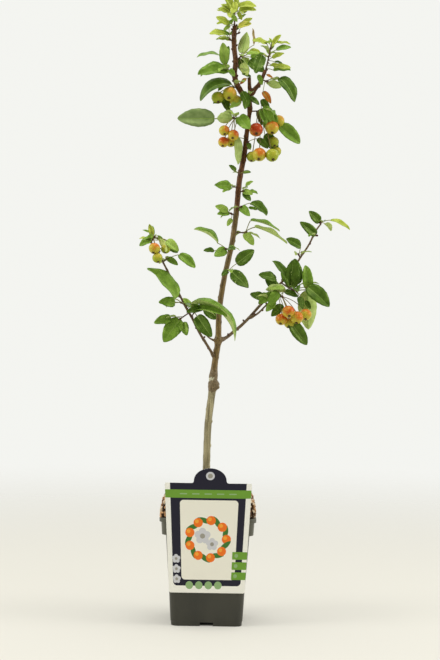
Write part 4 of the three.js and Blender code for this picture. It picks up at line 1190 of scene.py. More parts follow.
# %% All the leaves
LOOKS_SEED = 700
leaves = Batch()
for name, mass in grown.items():
    draw = seeded_random(LOOKS_SEED + MASSES[name]["seed"])
    for leaf in mass["leaves"]:
        tint = leaf.get("tint") or tint_of(name, leaf, draw)
        leaf["width"] *= LEAF_WIDTHS.get((name, leaf["place"]), 1)
        under = "young_pale" if tint in ("young", "yellow") else "pale"
        vertices, top, lower, edge = leaf_mesh(leaf, draw)
        rib = [k % 5 == 2 for k in range(len(top))]
        finishes = [LEAF_FINISH["rib"] if r else LEAF_FINISH[tint] for r in rib]
        finishes += [LEAF_FINISH["rib" if k < len(rib) and rib[k] else under] for k in range(len(lower))]
        finishes += [LEAF_FINISH[tint]] * len(edge)
        leaves.add(vertices, top + lower + edge, finishes)
leaves_piece = leaves.piece("leaves", leaf_materials, "foliage")
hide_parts(*["leaves_" + name for name in MASSES])

# %% [markdown]
# ## Twigs and stalks
# The finest wood: each mass's stem, which grows out of its limb and thins to its tip, a slender stalk
# for each leaf, arched as a leaf's weight bends it, the long stalks of the fruits, and the buds: one
# at each stem's tip, one where a leaf stalk starts, and a row that winds round each young limb.

# %% Twig finishes
def twig_material(name, dark, pale, roughness):
    material = start_material(name, roughness, Specular_IOR_Level=0.35)
    blotches = place_noise(material, 260, 3)
    link(material, ramp(material, blotches, [(0.32, dark), (0.68, pale)]), "Base Color")
    link(material, bump(material, blotches, 0.3, 0.0004), "Normal")
    return material


TWIG_FINISHES = [
    twig_material("twig_wood", (0.055, 0.026, 0.014), (0.14, 0.072, 0.038), 0.5),
    twig_material("leaf_stalk", (0.20, 0.21, 0.055), (0.36, 0.34, 0.10), 0.5),
    twig_material("fruit_stalk", (0.18, 0.17, 0.045), (0.34, 0.20, 0.07), 0.5),
    twig_material("bud", (0.07, 0.025, 0.012), (0.15, 0.07, 0.04), 0.45),
]
WOOD, LEAF_STALK, FRUIT_STALK, BUD = range(4)

# %% Stems, stalks and buds
STALK = {"radius": 0.85, "foot": 1.5, "lift": 0.06, "sides": 6}
STEM_SIDES = 9
BUD_SIZE = {"tip": 5.5, "leaf": 3.6, "limb": 4.8}
BUD_PROFILE = [(0, 0.3), (0.3, 0.42), (0.65, 0.36), (0.9, 0.16), (1.0, 0.03)]
BUD_SIDES = 7
twigs = Batch()


def arched(start, end, lift, steps):
    """Points from a start to an end along a flat arch"""
    rise = lift * np.linalg.norm(end - start)
    return [start + (end - start) * s + np.array([0, 0, 4 * rise * s * (1 - s)])
            for s in np.linspace(0, 1, steps + 1)]


def add_bud(at, aim, size):
    """A small pointed bud"""
    points = [at + aim * size * share for share, _ in BUD_PROFILE]
    twigs.add(*tube(points, [size * wide for _, wide in BUD_PROFILE], BUD_SIDES), BUD)


for name, mass in grown.items():
    stem = mass["stem"]
    steps = len(stem) - 1
    radii = [STEM["root"] + (STEM["tip"] - STEM["root"]) * i / steps for i in range(steps + 1)]
    if "at" in MASSES[name]:
        radii[0] *= 1.5
    twigs.add(*tube(stem, radii, STEM_SIDES), WOOD)
    add_bud(stem[-1] - mass["aim"], mass["aim"], BUD_SIZE["tip"])
    for leaf in mass["leaves"]:
        radius = STALK["radius"] * (0.6 + leaf["length"] / 120)
        blade_start, along, _, _ = blade_frame(leaf, 0)
        points = arched(leaf["from"], leaf["base"], STALK["lift"], 4) + [leaf["base"] + along * 2.5]
        radii = [radius * STALK["foot"], radius, radius, radius, radius * 1.1, radius * 0.5]
        twigs.add(*tube(points, radii, STALK["sides"]), LEAF_STALK)
        bud_aim = unit(unit(leaf["base"] - leaf["from"]) + mass["aim"])
        add_bud(leaf["from"], bud_aim, BUD_SIZE["leaf"])

# %% Buds along the young limbs
BUD_SPACING = {
    "leader": 8, "crown_twig": 11, "bough_left": 24, "bough_right": 24, "bough_right_second": 20,
}
BUD_SUNK = 0.85
BUD_RISE = 1.3
for name, spacing in BUD_SPACING.items():
    points, radii = limb_shape(LIMBS[name], spacing)
    radii = bark_radii(name, radii)
    for i, (point, radius, (across, other)) in enumerate(zip(points, radii, ring_frames(points))):
        angle = math.radians(GOLDEN_ANGLE * i)
        out = spoke(across, other, angle)
        add_bud(point + out * BUD_SUNK * radius, unit(out + np.array([0, 0, BUD_RISE])), BUD_SIZE["limb"])

# %% [markdown]
# ## Fruits
# Crabapples the size of a marble hang on thin stalks. Each is a flattened ball with a hollow where
# the stalk enters and, at the far end, the dark dry remains of the flower. They ripen from yellow
# green through yellow to orange and red, so each fruit has its own ripeness, dealt out by name. A dry
# sepal is a short tube, given at three places by how far out and down it is and how thick, all in
# shares of the fruit's radius.

# %% Fruit finishes
RIPENESS = {
    "green": ((0.36, 0.42, 0.030), (0.54, 0.46, 0.05), 0.76),
    "yellow": ((0.50, 0.46, 0.04), (0.66, 0.34, 0.04), 0.72),
    "blushed": ((0.54, 0.47, 0.045), (0.64, 0.18, 0.02), 0.68),
    "orange": ((0.58, 0.44, 0.04), (0.58, 0.095, 0.012), 0.62),
    "red": ((0.56, 0.32, 0.04), (0.46, 0.045, 0.012), 0.42),
}
SUNNY_SIDE = (0.25, -0.55, 0.72)
FRUIT_GLOSS = (1.0, 0.78, 0.42, 1)


def fruit_material(name, ground, blush, edge):
    """A fruit's ground colour, with a blush on its sunny upper side that ends in patches"""
    material = start_material("fruit_" + name, 0.24, Specular_IOR_Level=0.4, Specular_Tint=FRUIT_GLOSS)
    normal = add_node(material, "TexCoord").outputs["Normal"]
    sunny = add_node(material, "VectorMath", {0: normal, 1: SUNNY_SIDE}, operation="DOT_PRODUCT")
    shade = add_node(material, "Math", {0: sunny.outputs["Value"], 1: 0.34, 2: place_noise(material, 70, 3)},
                     operation="MULTIPLY_ADD").outputs["Value"]
    speckle = place_noise(material, 900, 2)
    colour = ramp(material, shade, [(edge - 0.13, ground), (edge + 0.13, blush)])
    pale = tuple(min(1, 1.25 * c + 0.03) for c in ground)
    dots = ramp(material, speckle, [(0.64, (0, 0, 0)), (0.70, (0.6, 0.6, 0.6))])
    link(material, mix(material, dots, colour, pale), "Base Color")
    return material


fruit_materials = [fruit_material(name, *facts) for name, facts in RIPENESS.items()]
calyx_material = twig_material("dry_calyx", (0.06, 0.035, 0.012), (0.17, 0.11, 0.04), 0.8)
FRUIT_RIPENESS = {
    "left_tip": "blushed green green green",
    "right_fruit": "orange orange blushed blushed yellow",
    "crown_left_low": "blushed orange orange yellow",
    "crown_left": "green yellow yellow",
    "crown_right_low": "red blushed yellow green blushed green green green",
}

# %% Fruits, their calyx and their stalks
FRUIT_SIDES = 16
PLUMP = 1.12
FRUIT_RINGS = 10
FRUIT_STALK_RADII = [1.2, 1.0, 0.85, 0.8, 0.8, 0.85, 1.0, 1.2]
FRUIT_STALK_LIFT = 0.12
SEPAL = [(0.05, 0, 0.11), (0.17, 0.10, 0.08), (0.26, 0.22, 0.02)]
SEPALS = 5
SEPAL_SIDES = 5
CALYX = len(fruit_materials)
fruits = Batch()


def fruit_profile(angle):
    """Distance from the axis and height at an angle from the stalk end, for a radius of one"""
    hollow = 0.26 * bell(angle, 0.34)
    dimple = 0.14 * bell(math.pi - angle, 0.28)
    return math.sin(angle) * (1 + 0.03 * math.cos(angle)), 0.94 * math.cos(angle) - hollow + dimple


def add_fruit(at, axis, size, finish):
    """A fruit whose axis points from the calyx to the stalk"""
    side = unit(np.cross(axis, [0.3, 1.0, 0.2]))
    other = np.cross(axis, side)
    vertices = [at + axis * size * fruit_profile(0)[1]]
    for i in range(1, FRUIT_RINGS):
        radius, height = fruit_profile(math.pi * i / FRUIT_RINGS)
        for k in range(FRUIT_SIDES):
            angle = 2 * math.pi * k / FRUIT_SIDES
            around = spoke(side, other, angle)
            vertices.append(at + axis * size * height + around * size * radius)
    vertices.append(at + axis * size * fruit_profile(math.pi)[1])
    faces = []
    last = len(vertices) - 1
    for k in range(FRUIT_SIDES):
        after = (k + 1) % FRUIT_SIDES
        faces.append([0, 1 + k, 1 + after])
        for i in range(FRUIT_RINGS - 2):
            a, b = 1 + i * FRUIT_SIDES + k, 1 + i * FRUIT_SIDES + after
            faces.append([a, a + FRUIT_SIDES, b + FRUIT_SIDES, b])
        low = 1 + (FRUIT_RINGS - 2) * FRUIT_SIDES
        faces.append([low + k, last, low + after])
    fruits.add(vertices, faces, finish)
    foot = at + axis * size * (fruit_profile(math.pi)[1] - 0.02)
    for k in range(SEPALS):
        around = spoke(side, other, 2 * math.pi * k / SEPALS)
        points = [foot + around * size * out - axis * size * down for out, down, _ in SEPAL]
        fruits.add(*tube(points, [size * thick for _, _, thick in SEPAL], SEPAL_SIDES), CALYX)


ripeness = list(RIPENESS)
for name, mass in grown.items():
    draw = seeded_random(LOOKS_SEED + 50 + MASSES[name]["seed"])
    for fruit, ripe in zip(mass["fruits"], FRUIT_RIPENESS.get(name, "").split()):
        sway = np.array([0.6 * (draw() - 0.5), 0.5 + 0.7 * draw(), 1.0])
        axis = unit(sway)
        add_fruit(fruit["at"], axis, PLUMP * fruit["size"], ripeness.index(ripe))
        top = fruit["at"] + axis * fruit["size"] * 0.7
        points = arched(fruit["from"], top, FRUIT_STALK_LIFT, len(FRUIT_STALK_RADII) - 1)
        twigs.add(*tube(points, FRUIT_STALK_RADII, STALK["sides"]), FRUIT_STALK)
fruits.piece("fruits", [*fruit_materials, calyx_material], "foliage")
twigs.piece("twigs_and_stalks", TWIG_FINISHES, "shoot")

# %% [markdown]
# ## The nursery pot
# A square pot blown thin from dull black plastic: rounded corners, a small step at the foot, a collar
# that widens under the rim so that pots stack without jamming, a rolled lip, and drains cut through
# the foot. One cube becomes all of it in edit mode: its upright edges are bevelled, and its top face
# is extruded and scaled ring by ring, up the outside, over the lip and down the inside. The collar is
# painted paler than the body, a painted highlight for the sheen its slanted faces catch from the side
# lights, so the plastic's colour changes at its height.

# %% Pot sizes
POT = {
    "base": 68, "body_top": 80, "collar": 87.5, "collar_top": 89, "lip": 92.5, "wall": 2, "floor": 3,
    "ledge": 8, "body_height": 174, "collar_height": 200, "height": 209, "corner": 13, "collar_step": 2,
    "lip_step": 1, "soft": 0.8,
}
DRAIN = {"width": 25, "height": 7, "depth": 6, "out": 5, "hole_radius": 5, "hole_place": 42}
BODY_LEVELS = (60, 120)


def body_half(z):
    """Half the width of the pot's tapering body at a height"""
    return POT["base"] + (POT["body_top"] - POT["base"]) * z / POT["body_height"]


def edit(piece):
    bpy.ops.object.select_all(action="DESELECT")
    piece.select_set(True)
    bpy.context.view_layer.objects.active = piece
    bpy.ops.object.mode_set(mode="EDIT")


def leave_edit():
    bpy.ops.object.mode_set(mode="OBJECT")


def select_only(piece, kind, test):
    """Selects the faces or edges of the edited piece whose middle and direction pass a test"""
    bpy.ops.mesh.select_mode(type=kind)
    bpy.ops.mesh.select_all(action="DESELECT")
    bpy.ops.object.mode_set(mode="OBJECT")
    mesh = piece.data
    if kind == "FACE":
        for face in mesh.polygons:
            face.select = test(face.center, face.normal)
    else:
        for edge in mesh.edges:
            start, end = (mesh.vertices[i].co for i in edge.vertices)
            edge.select = test((start + end) / 2, (end - start).normalized())
    bpy.ops.object.mode_set(mode="EDIT")


def start_block(name, half, low, high, corner):
    """A square block with round upright corners, in edit mode with its top face selected"""
    bpy.ops.object.select_all(action="DESELECT")
    bpy.ops.mesh.primitive_cube_add(
        size=1, location=(0, 0, (low + high) * MM / 2), scale=(2 * half * MM,) * 2 + ((high - low) * MM,))
    piece = bpy.context.object
    piece.name = name
    bpy.ops.object.transform_apply(location=True, rotation=False, scale=True)
    edit(piece)
    select_only(piece, "EDGE", lambda middle, along: abs(along.z) > 0.9)
    bpy.ops.mesh.bevel(offset=corner * MM, segments=6, affect="EDGES")
    select_only(piece, "FACE", lambda middle, normal: normal.z > 0.9)
    return piece


def raise_rings(half, level, rings):
    """Extrudes the selected top face from ring to ring and scales it to each half width"""
    for next_half, next_level in rings:
        rise = (0, 0, (next_level - level) * MM)
        bpy.ops.mesh.extrude_region_move(TRANSFORM_OT_translate={"value": rise})
        bpy.ops.transform.resize(
            value=(next_half / half,) * 2 + (1,), center_override=(0, 0, next_level * MM))
        half, level = next_half, next_level
    leave_edit()


# %% Raise the pot ring by ring
pot = start_block("nursery_pot", POT["base"], 0, POT["ledge"], POT["corner"])
ledge_half = body_half(POT["ledge"])
wall, soft = POT["wall"], POT["soft"]
inner_half = POT["collar"] - wall
collar_foot = POT["body_height"] + POT["collar_step"]
lip_foot = POT["collar_height"] + POT["lip_step"]
RINGS = [
    (ledge_half + soft, POT["ledge"] + soft), *((body_half(level), level) for level in BODY_LEVELS),
    (POT["body_top"], POT["body_height"]), (POT["collar"], collar_foot),
    (POT["collar_top"], POT["collar_height"]), (POT["lip"], lip_foot),
    (POT["lip"], POT["height"] - soft), (POT["lip"] - soft, POT["height"]),
    (inner_half + soft, POT["height"]), (inner_half, POT["height"] - soft), (inner_half, collar_foot),
    (POT["body_top"] - wall, POT["body_height"]), (POT["base"] - wall, POT["floor"]),
]
bpy.ops.transform.resize(
    value=(ledge_half / POT["base"],) * 2 + (1,), center_override=(0, 0, POT["ledge"] * MM))
raise_rings(ledge_half, POT["ledge"], RINGS)
print("pot faces", len(pot.data.polygons))

# %% Cut the drains and soften the edges
SHARP = 40


def cutter(kind, **values):
    bpy.ops.object.select_all(action="DESELECT")
    getattr(bpy.ops.mesh, f"primitive_{kind}_add")(**values)
    return bpy.context.object


def modify(piece, kind, **settings):
    """Applies a modifier with the given settings"""
    modifier = piece.modifiers.new(kind.lower(), kind)
    for name, value in settings.items():
        setattr(modifier, name, value)
    bpy.context.view_layer.objects.active = piece
    bpy.ops.object.modifier_apply(modifier=modifier.name)


def cut_away(piece, tool):
    """Takes a closed shape out of a piece"""
    modify(piece, "BOOLEAN", object=tool, solver="EXACT")
    bpy.data.objects.remove(tool)


notch_long = DRAIN["out"] + wall + DRAIN["depth"]
for quarter in range(4):
    turn = math.radians(90 * quarter)
    middle = POT["base"] + DRAIN["out"] - notch_long / 2
    notch = cutter(
        "cube", size=1, rotation=(0, 0, turn),
        scale=(DRAIN["width"] * MM, notch_long * MM, 2 * DRAIN["height"] * MM),
        location=(math.sin(turn) * middle * MM, -math.cos(turn) * middle * MM, 0))
    cut_away(pot, notch)
    place = DRAIN["hole_place"] * MM
    hole = cutter(
        "cylinder", vertices=24, radius=DRAIN["hole_radius"] * MM, depth=4 * POT["floor"] * MM,
        location=(place * (1, -1, -1, 1)[quarter], place * (1, 1, -1, -1)[quarter], 0))
    cut_away(pot, hole)


def finish_edges(piece, width):
    """A small bevel on every sharp edge, then smooth shading up to that angle"""
    angle = math.radians(SHARP)
    modify(piece, "BEVEL", width=width * MM, segments=2, limit_method="ANGLE", angle_limit=angle)
    bpy.ops.object.select_all(action="DESELECT")
    piece.select_set(True)
    bpy.ops.object.shade_smooth_by_angle(angle=angle)


finish_edges(pot, 0.5)

# %% The pot's plastic
# The collar's paler colour is a painted highlight for the sheen the slanted collar catches from the side
# lights.
COLLAR_SHEEN_PAINT = (0.082, 0.081, 0.056)
COLLAR_SHEEN_FADE = 3
pot_plastic = start_material("pot_plastic", 0.38, Specular_IOR_Level=0.5)
scuffs = place_noise(pot_plastic, 14, 4, (1, 1, 0.4))
plastic = ramp(pot_plastic, scuffs, [(0.3, (0.021, 0.021, 0.013)), (0.75, (0.046, 0.044, 0.029))])
pot_place = add_node(pot_plastic, "TexCoord").outputs["Object"]
pot_level = add_node(pot_plastic, "SeparateXYZ", {0: pot_place}).outputs["Z"]
painted_sheen = add_node(pot_plastic, "MapRange", {
    "Value": pot_level, "From Min": POT["body_height"] * MM,
    "From Max": (POT["body_height"] + COLLAR_SHEEN_FADE) * MM,
}).outputs["Result"]
link(pot_plastic, mix(pot_plastic, painted_sheen, plastic, COLLAR_SHEEN_PAINT), "Base Color")
grain = place_noise(pot_plastic, 900, 2)
link(pot_plastic, bump(pot_plastic, grain, 0.25, 0.0003), "Normal")
pot.data.materials.append(pot_plastic)
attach(pot, "root")
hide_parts("pot")
print("pot done", len(pot.data.polygons))

# %% [markdown]
# ## Growing mix and bark mulch
# The pot is filled with dark growing mix, and coarse bark chips are heaped steeply over its rim. The
# heap is raised ring by ring like the pot, then remeshed finely and lumped by noise. The chips are
# split slabs of bark with six irregular corners, in four colours from black brown to tan, strewn over
# the heap's top and its steep sides from a seed.

# %% The heap
HEAP = {"half": 85.2, "low": 180, "rim": 209.3, "corner": 16, "voxel": 3, "lumps": 2.2, "lumps_from": 212}
HEAP_RINGS = [(89, HEAP["rim"]), (88, 222), (84, 237), (72, 243), (50, 242), (30, 240), (16, MULCH_CROWN)]
HEAP_LIMIT = {"side": 92, "front": 90.8}
HEAP_SMOOTH = 50
SLOT = {"half": 21, "depth": 25, "top": 212, "inward": 2}


def lump(place):
    """Relief of the heap at a place in millimetres"""
    return noise.noise(place * 0.05) + 0.5 * noise.noise(place * 0.12)


def heap_level(x, y):
    """The height of the heap's upper side"""
    halves, levels = zip(*HEAP_RINGS[:0:-1])
    return float(np.interp(max(abs(x), abs(y)), halves, levels))


mulch = start_block("growing_mix", HEAP["half"], HEAP["low"], HEAP["rim"], HEAP["corner"])
raise_rings(HEAP["half"], HEAP["rim"], HEAP_RINGS)
modify(mulch, "REMESH", mode="VOXEL", voxel_size=HEAP["voxel"] * MM)
for vertex in mulch.data.vertices:
    if vertex.co.z > HEAP["lumps_from"] * MM:
        vertex.co += vertex.normal * HEAP["lumps"] * lump(vertex.co / MM) * MM
slot_low = POT["height"] - SLOT["depth"]
slot_inner = HEAP["half"] - SLOT["inward"]
slot = cutter(
    "cube", size=1,
    location=(0, -(POT["lip"] + slot_inner) / 2 * MM, (slot_low + SLOT["top"]) / 2 * MM),
    scale=(2 * SLOT["half"] * MM, (POT["lip"] - slot_inner) * MM, (SLOT["top"] - slot_low) * MM))
cut_away(mulch, slot)
bpy.context.view_layer.objects.active = mulch
mulch.select_set(True)
bpy.ops.object.shade_smooth_by_angle(angle=math.radians(HEAP_SMOOTH))
print("heap faces", len(mulch.data.polygons))
soil = start_material("growing_mix", 0.95, Specular_IOR_Level=0.2)
crumbs = place_noise(soil, 260, 5)
link(soil, ramp(soil, crumbs, [(0.35, (0.025, 0.014, 0.008)), (0.7, (0.10, 0.052, 0.025))]), "Base Color")
link(soil, bump(soil, crumbs, 1.0, 0.003), "Normal")
mulch.data.materials.append(soil)
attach(mulch, "root")
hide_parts("mulch")

# %% [markdown]
# Most chips are strewn on the heap's top, the rest on its four steep sides. Corners that would pass
# the lip or reach the card are pushed back inside.

# %% Chip sizes and finishes
TOP_CHIPS = 1000
SIDE_CHIPS = 620
CHIP_CORNERS = 6
CHIP_LONG = (7, 11)
CHIP_WIDE = (0.3, 0.3)
CHIP_THICK = (1.6, 2.4)
CHIP_OUT = (0.6, 3.0)
CHIP_SHAPE = {"reach": (0.75, 0.5), "below": (0.4, 0.2), "top": (0.7, 0.25), "above": (0.35, 0.4)}
CHIP_PALER = 1.2
CHIP_SEED = 83
TOP_REACH = 82
TOP_SLANT = 0.9
SIDE_SLANT = 1.1
SIDE_LEVELS = (213, 27)
SIDE_PROFILE = ([209, 222, 237, 243], [87, 87, 83, 76])
SIDE_MARGIN = 3
SIDE_RISE = 0.25
CHIP_HEIGHTS = (0.4, 255)
CHIP_COLOURS = [
    ((0.56, 0.42, 0.26), (0.88, 0.74, 0.55)), ((0.40, 0.20, 0.08), (0.70, 0.43, 0.22)),
    ((0.07, 0.035, 0.018), (0.18, 0.09, 0.045)), ((0.18, 0.09, 0.04), (0.40, 0.22, 0.11)),
]


def chip_material(name, dark, pale):
    material = start_material(name, 0.85, Specular_IOR_Level=0.25)
    fibres = place_noise(material, 330, 4, (1, 0.35, 1))
    link(material, ramp(material, fibres, [(0.3, dark), (0.7, pale)]), "Base Color")
    link(material, bump(material, fibres, 0.7, 0.001), "Normal")
    return material


chip_materials = [chip_material(f"bark_chip_{i + 1}", *pair) for i, pair in enumerate(CHIP_COLOURS)]


# %% Strew the chips
chips = Batch()
draw = seeded_random(CHIP_SEED)


def add_chip(at, across, up, long, wide, thick, finish):
    """A split slab of bark with six irregular corners"""
    other = np.cross(up, across)
    bottom, top = [], []
    for k in range(CHIP_CORNERS):
        angle = 2 * math.pi * (k + 0.5 * (draw() - 0.5)) / CHIP_CORNERS
        reach = amount(draw, CHIP_SHAPE["reach"])
        flat = across * long * reach * math.cos(angle) / 2 + other * wide * reach * math.sin(angle) / 2
        bottom.append(at + flat - up * thick * amount(draw, CHIP_SHAPE["below"]))
        narrowed = flat * amount(draw, CHIP_SHAPE["top"])
        top.append(at + narrowed + up * thick * amount(draw, CHIP_SHAPE["above"]))
    chips.add(bottom + top, tube_faces(2, CHIP_CORNERS), finish)


def strew(at, out, slant):
    """One chip at a place of the heap, lying within a slant of the heap's side there"""
    long = CHIP_LONG[0] + CHIP_LONG[1] * draw() ** 2
    heading = 2 * math.pi * draw()
    up = unit(out + slant * np.array([draw() - 0.5, draw() - 0.5, draw() - 0.5]))
    across = unit(np.cross(up, [math.cos(heading), math.sin(heading), 0.3]))
    at = at + out * amount(draw, CHIP_OUT)
    wide = long * amount(draw, CHIP_WIDE)
    thick = amount(draw, CHIP_THICK)
    add_chip(at, across, up, long, wide, thick, int(len(CHIP_COLOURS) * draw() ** CHIP_PALER))


for i in range(TOP_CHIPS):
    x, y = (2 * draw() - 1) * TOP_REACH, (2 * draw() - 1) * TOP_REACH
    strew(np.array([x, y, heap_level(x, y)]), np.array([0, 0, 1.0]), TOP_SLANT)
for i in range(SIDE_CHIPS):
    level = amount(draw, SIDE_LEVELS)
    half = float(np.interp(level, *SIDE_PROFILE))
    along = (2 * draw() - 1) * (half - SIDE_MARGIN)
    turn = math.radians(90 * (i % 4))
    out = np.array([math.cos(turn), math.sin(turn), SIDE_RISE])
    at = np.array([half * math.cos(turn) - along * math.sin(turn),
                   half * math.sin(turn) + along * math.cos(turn), level])
    strew(at, unit(out), SIDE_SLANT)
side, front = HEAP_LIMIT["side"], HEAP_LIMIT["front"]
chips_low = [-side, -front, POT["height"] + CHIP_HEIGHTS[0]]
chips_high = [side, side, CHIP_HEIGHTS[1]]
chips.vertices = [np.clip(v, chips_low, chips_high) for v in chips.vertices]
chips_piece = chips.piece("bark_chips", chip_materials, "mulch")
for face in chips_piece.data.polygons:
    face.use_smooth = False

# %% [markdown]
# ## The label card
# A printed plastic card leans on the pot's front and hangs by a hook over the rim. It is drawn flat,
# as a cutter's die would be: straight sides that widen upwards, small round corners and a rounded
# tab. Then it gets its slight bow, is leant against the pot and gets its thickness.

# %% The card's outline
CARD = {
    "bottom": 65, "height": 215, "top_half": 82.5, "bottom_half": 72, "thickness": 0.8, "tab_half": 31,
    "tab_height": 29, "tab_shift": 3.5, "tab_fillet": 5, "bow": 1.2, "foot_round": 4, "foot_out": 0.3,
    "top_round": 3,
}
DOME_ROUND = 0.55


def arc_to(outline, *controls, steps):
    """Adds a curve from the outline's last point to the last control, drawn by the others"""
    points = [np.array(outline[-1], float), *(np.array(c, float) for c in controls)]
    for i in range(1, steps + 1):
        level, share = points, i / steps
        while len(level) > 1:
            level = [a + (b - a) * share for a, b in zip(level, level[1:])]
        outline.append(tuple(level[0]))


def card_outline():
    top, low, height = CARD["top_half"], CARD["bottom_half"], CARD["height"]
    shift, half, fillet = CARD["tab_shift"], CARD["tab_half"], CARD["tab_fillet"]
    dome_foot, dome_top = height + fillet, height + CARD["tab_height"]
    dome_side = dome_foot + DOME_ROUND * (CARD["tab_height"] - fillet)
    foot, edge, corner = CARD["foot_round"], low + CARD["foot_out"], CARD["top_round"]
    outline = [(-low + foot, 0), (low - foot, 0)]
    arc_to(outline, (low, 0), (edge, foot), steps=5)
    outline.append((top, height - corner))
    arc_to(outline, (top, height), (top - corner, height), steps=4)
    outline.append((shift + half + fillet, height))
    arc_to(outline, (shift + half, height), (shift + half, dome_foot), steps=5)
    shoulder = DOME_ROUND * half
    arc_to(outline, (shift + half, dome_side), (shift + shoulder, dome_top), (shift, dome_top), steps=12)
    arc_to(outline, (shift - shoulder, dome_top), (shift - half, dome_side), (shift - half, dome_foot),
           steps=12)
    arc_to(outline, (shift - half, height), (shift - half - fillet, height), steps=5)
    outline.append((-top + corner, height))
    arc_to(outline, (-top, height), (-top, height - corner), steps=4)
    outline.append((-edge, foot))
    arc_to(outline, (-low, 0), (-low + foot, 0), steps=5)
    return outline[:-1]


# %% The flat sheet, its thickness and its lean
GRID_LINES = 14
PRINT_HALF = 80
PRINT_UNIT = 100
flat = card_outline()
sheet = bpy.data.meshes.new("label_sheet")
sheet.from_pydata([(x * MM, y * MM, 0) for x, y in flat], [], [list(range(len(flat)))])
card = bpy.data.objects.new("label_card_print", sheet)
bpy.context.scene.collection.objects.link(card)
edit(card)
full = CARD["height"] + CARD["tab_height"]
for i in range(1, GRID_LINES):
    bpy.ops.mesh.select_all(action="SELECT")
    bpy.ops.mesh.bisect(plane_co=(0, full * MM * i / GRID_LINES, 0), plane_no=(0, 1, 0))
    bpy.ops.mesh.select_all(action="SELECT")
    bpy.ops.mesh.bisect(plane_co=((2 * i / GRID_LINES - 1) * CARD["top_half"] * MM, 0, 0), plane_no=(1, 0, 0))
leave_edit()
uv = card.data.uv_layers.new(name="card_print")
for loop in card.data.loops:
    x, y, _ = card.data.vertices[loop.vertex_index].co / MM
    half = CARD["bottom_half"] + (CARD["top_half"] - CARD["bottom_half"]) * min(1, y / CARD["height"])
    uv.data[loop.index].uv = (x / half * PRINT_HALF / PRINT_UNIT, y / PRINT_UNIT)
seat = -POT["lip"] - GAP
foot = -body_half(CARD["bottom"]) - 2 * GAP
lean = math.atan2(foot - seat, lip_foot - CARD["bottom"])
for vertex in card.data.vertices:
    x, y, _ = vertex.co / MM
    bow = CARD["bow"] * (x / CARD["top_half"]) ** 2 * y / CARD["height"]
    vertex.co = (x * MM, (foot - y * math.sin(lean) + bow) * MM, (CARD["bottom"] + y * math.cos(lean)) * MM)
modify(card, "SOLIDIFY", thickness=CARD["thickness"] * MM, offset=1)
print("card faces", len(card.data.polygons))

# %% The hook over the rim
HOOK = {"half": 20, "depth": 24, "thick": 0.9, "root": 2, "over": 1}
hook_root, hook_face = seat - HOOK["root"], -inner_half + GAP
hook_level, hook_low = POT["height"] + HOOK["over"], POT["height"] - HOOK["depth"]
hook_back, hook_top = hook_face + HOOK["thick"], hook_level + HOOK["thick"]
profile = [(hook_root, hook_level), (hook_face, hook_level), (hook_face, hook_low),
           (hook_back, hook_low), (hook_back, hook_top), (hook_root, hook_top)]
hook = bpy.data.meshes.new("label_hook")
hook.from_pydata([(-HOOK["half"] * MM, y * MM, z * MM) for y, z in profile], [], [list(range(6))])
hook_piece = bpy.data.objects.new("label_hook", hook)
bpy.context.scene.collection.objects.link(hook_piece)
edit(hook_piece)
bpy.ops.mesh.select_all(action="SELECT")
bpy.ops.mesh.extrude_region_move(TRANSFORM_OT_translate={"value": (2 * HOOK["half"] * MM, 0, 0)})
bpy.ops.mesh.select_all(action="SELECT")
bpy.ops.mesh.normals_make_consistent(inside=False)
leave_edit()
finish_edges(hook_piece, 0.3)

# %% [markdown]
# ## The print
# The print is a generic design of the maker's own: a navy field in a cream border, a cream panel, a
# wreath of orange discs and green leaves, pale flowers and green bars, with no words. Each shape is a
# few nodes that ask whether a point of the card is inside it, and shapes are laid on each other like
# coats of ink. The points are read from the card's own UV map, where one unit is 100 millimetres.

# %% Inks and shapes
INK = {
    "cream": (0.97, 0.955, 0.86), "navy": (0.012, 0.011, 0.026), "panel": (0.95, 0.92, 0.79),
    "green": (0.17, 0.36, 0.035), "pale_green": (0.30, 0.47, 0.20), "orange": (0.95, 0.19, 0.012),
    "yellow": (0.98, 0.42, 0.04), "grey": (0.36, 0.34, 0.28), "white": (0.66, 0.66, 0.68),
    "leaf": (0.05, 0.20, 0.03),
}
printed = start_material("card_print", 0.4, Specular_IOR_Level=0.25)
card_uv = add_node(printed, "UVMap", uv_map="card_print").outputs["UV"]


def vector_math(operation, *values):
    sockets = dict(enumerate(values))
    return add_node(printed, "VectorMath", sockets, operation=operation)


def less(value, limit):
    return add_node(printed, "Math", {0: value, 1: limit}, operation="LESS_THAN").outputs["Value"]


def times(first, second):
    return add_node(printed, "Math", {0: first, 1: second}, operation="MULTIPLY").outputs["Value"]


def uv_place(x, y):
    """A place of the flat card, in millimetres, on its UV map"""
    return x / PRINT_UNIT, y / PRINT_UNIT, 0


def inside_box(x, y, half_x, half_y, corner):
    """Inside a box with round corners; all values in millimetres on the flat card"""
    middle = vector_math("SUBTRACT", card_uv, uv_place(x, y))
    away = vector_math("ABSOLUTE", middle.outputs["Vector"])
    size = ((half_x - corner) / PRINT_UNIT, (half_y - corner) / PRINT_UNIT, 1)
    over = vector_math("MAXIMUM", vector_math("SUBTRACT", away.outputs["Vector"], size).outputs["Vector"],
                       (0, 0, 0))
    return less(vector_math("LENGTH", over.outputs["Vector"]).outputs["Value"], corner / PRINT_UNIT)


def inside_disc(x, y, radius):
    distance = vector_math("DISTANCE", card_uv, uv_place(x, y)).outputs["Value"]
    return less(distance, radius / PRINT_UNIT)


def inside_leaf(x, y, half_long, half_wide, heading):
    """A pointed leaf: where two discs overlap"""
    radius = (half_long**2 + half_wide**2) / (2 * half_wide)
    aside = radius - half_wide
    angle = math.radians(heading + 90)
    step_x, step_y = aside * math.cos(angle), aside * math.sin(angle)
    return times(inside_disc(x + step_x, y + step_y, radius), inside_disc(x - step_x, y - step_y, radius))


def lay(below, mask, ink):
    return mix(printed, mask, below, INK[ink])


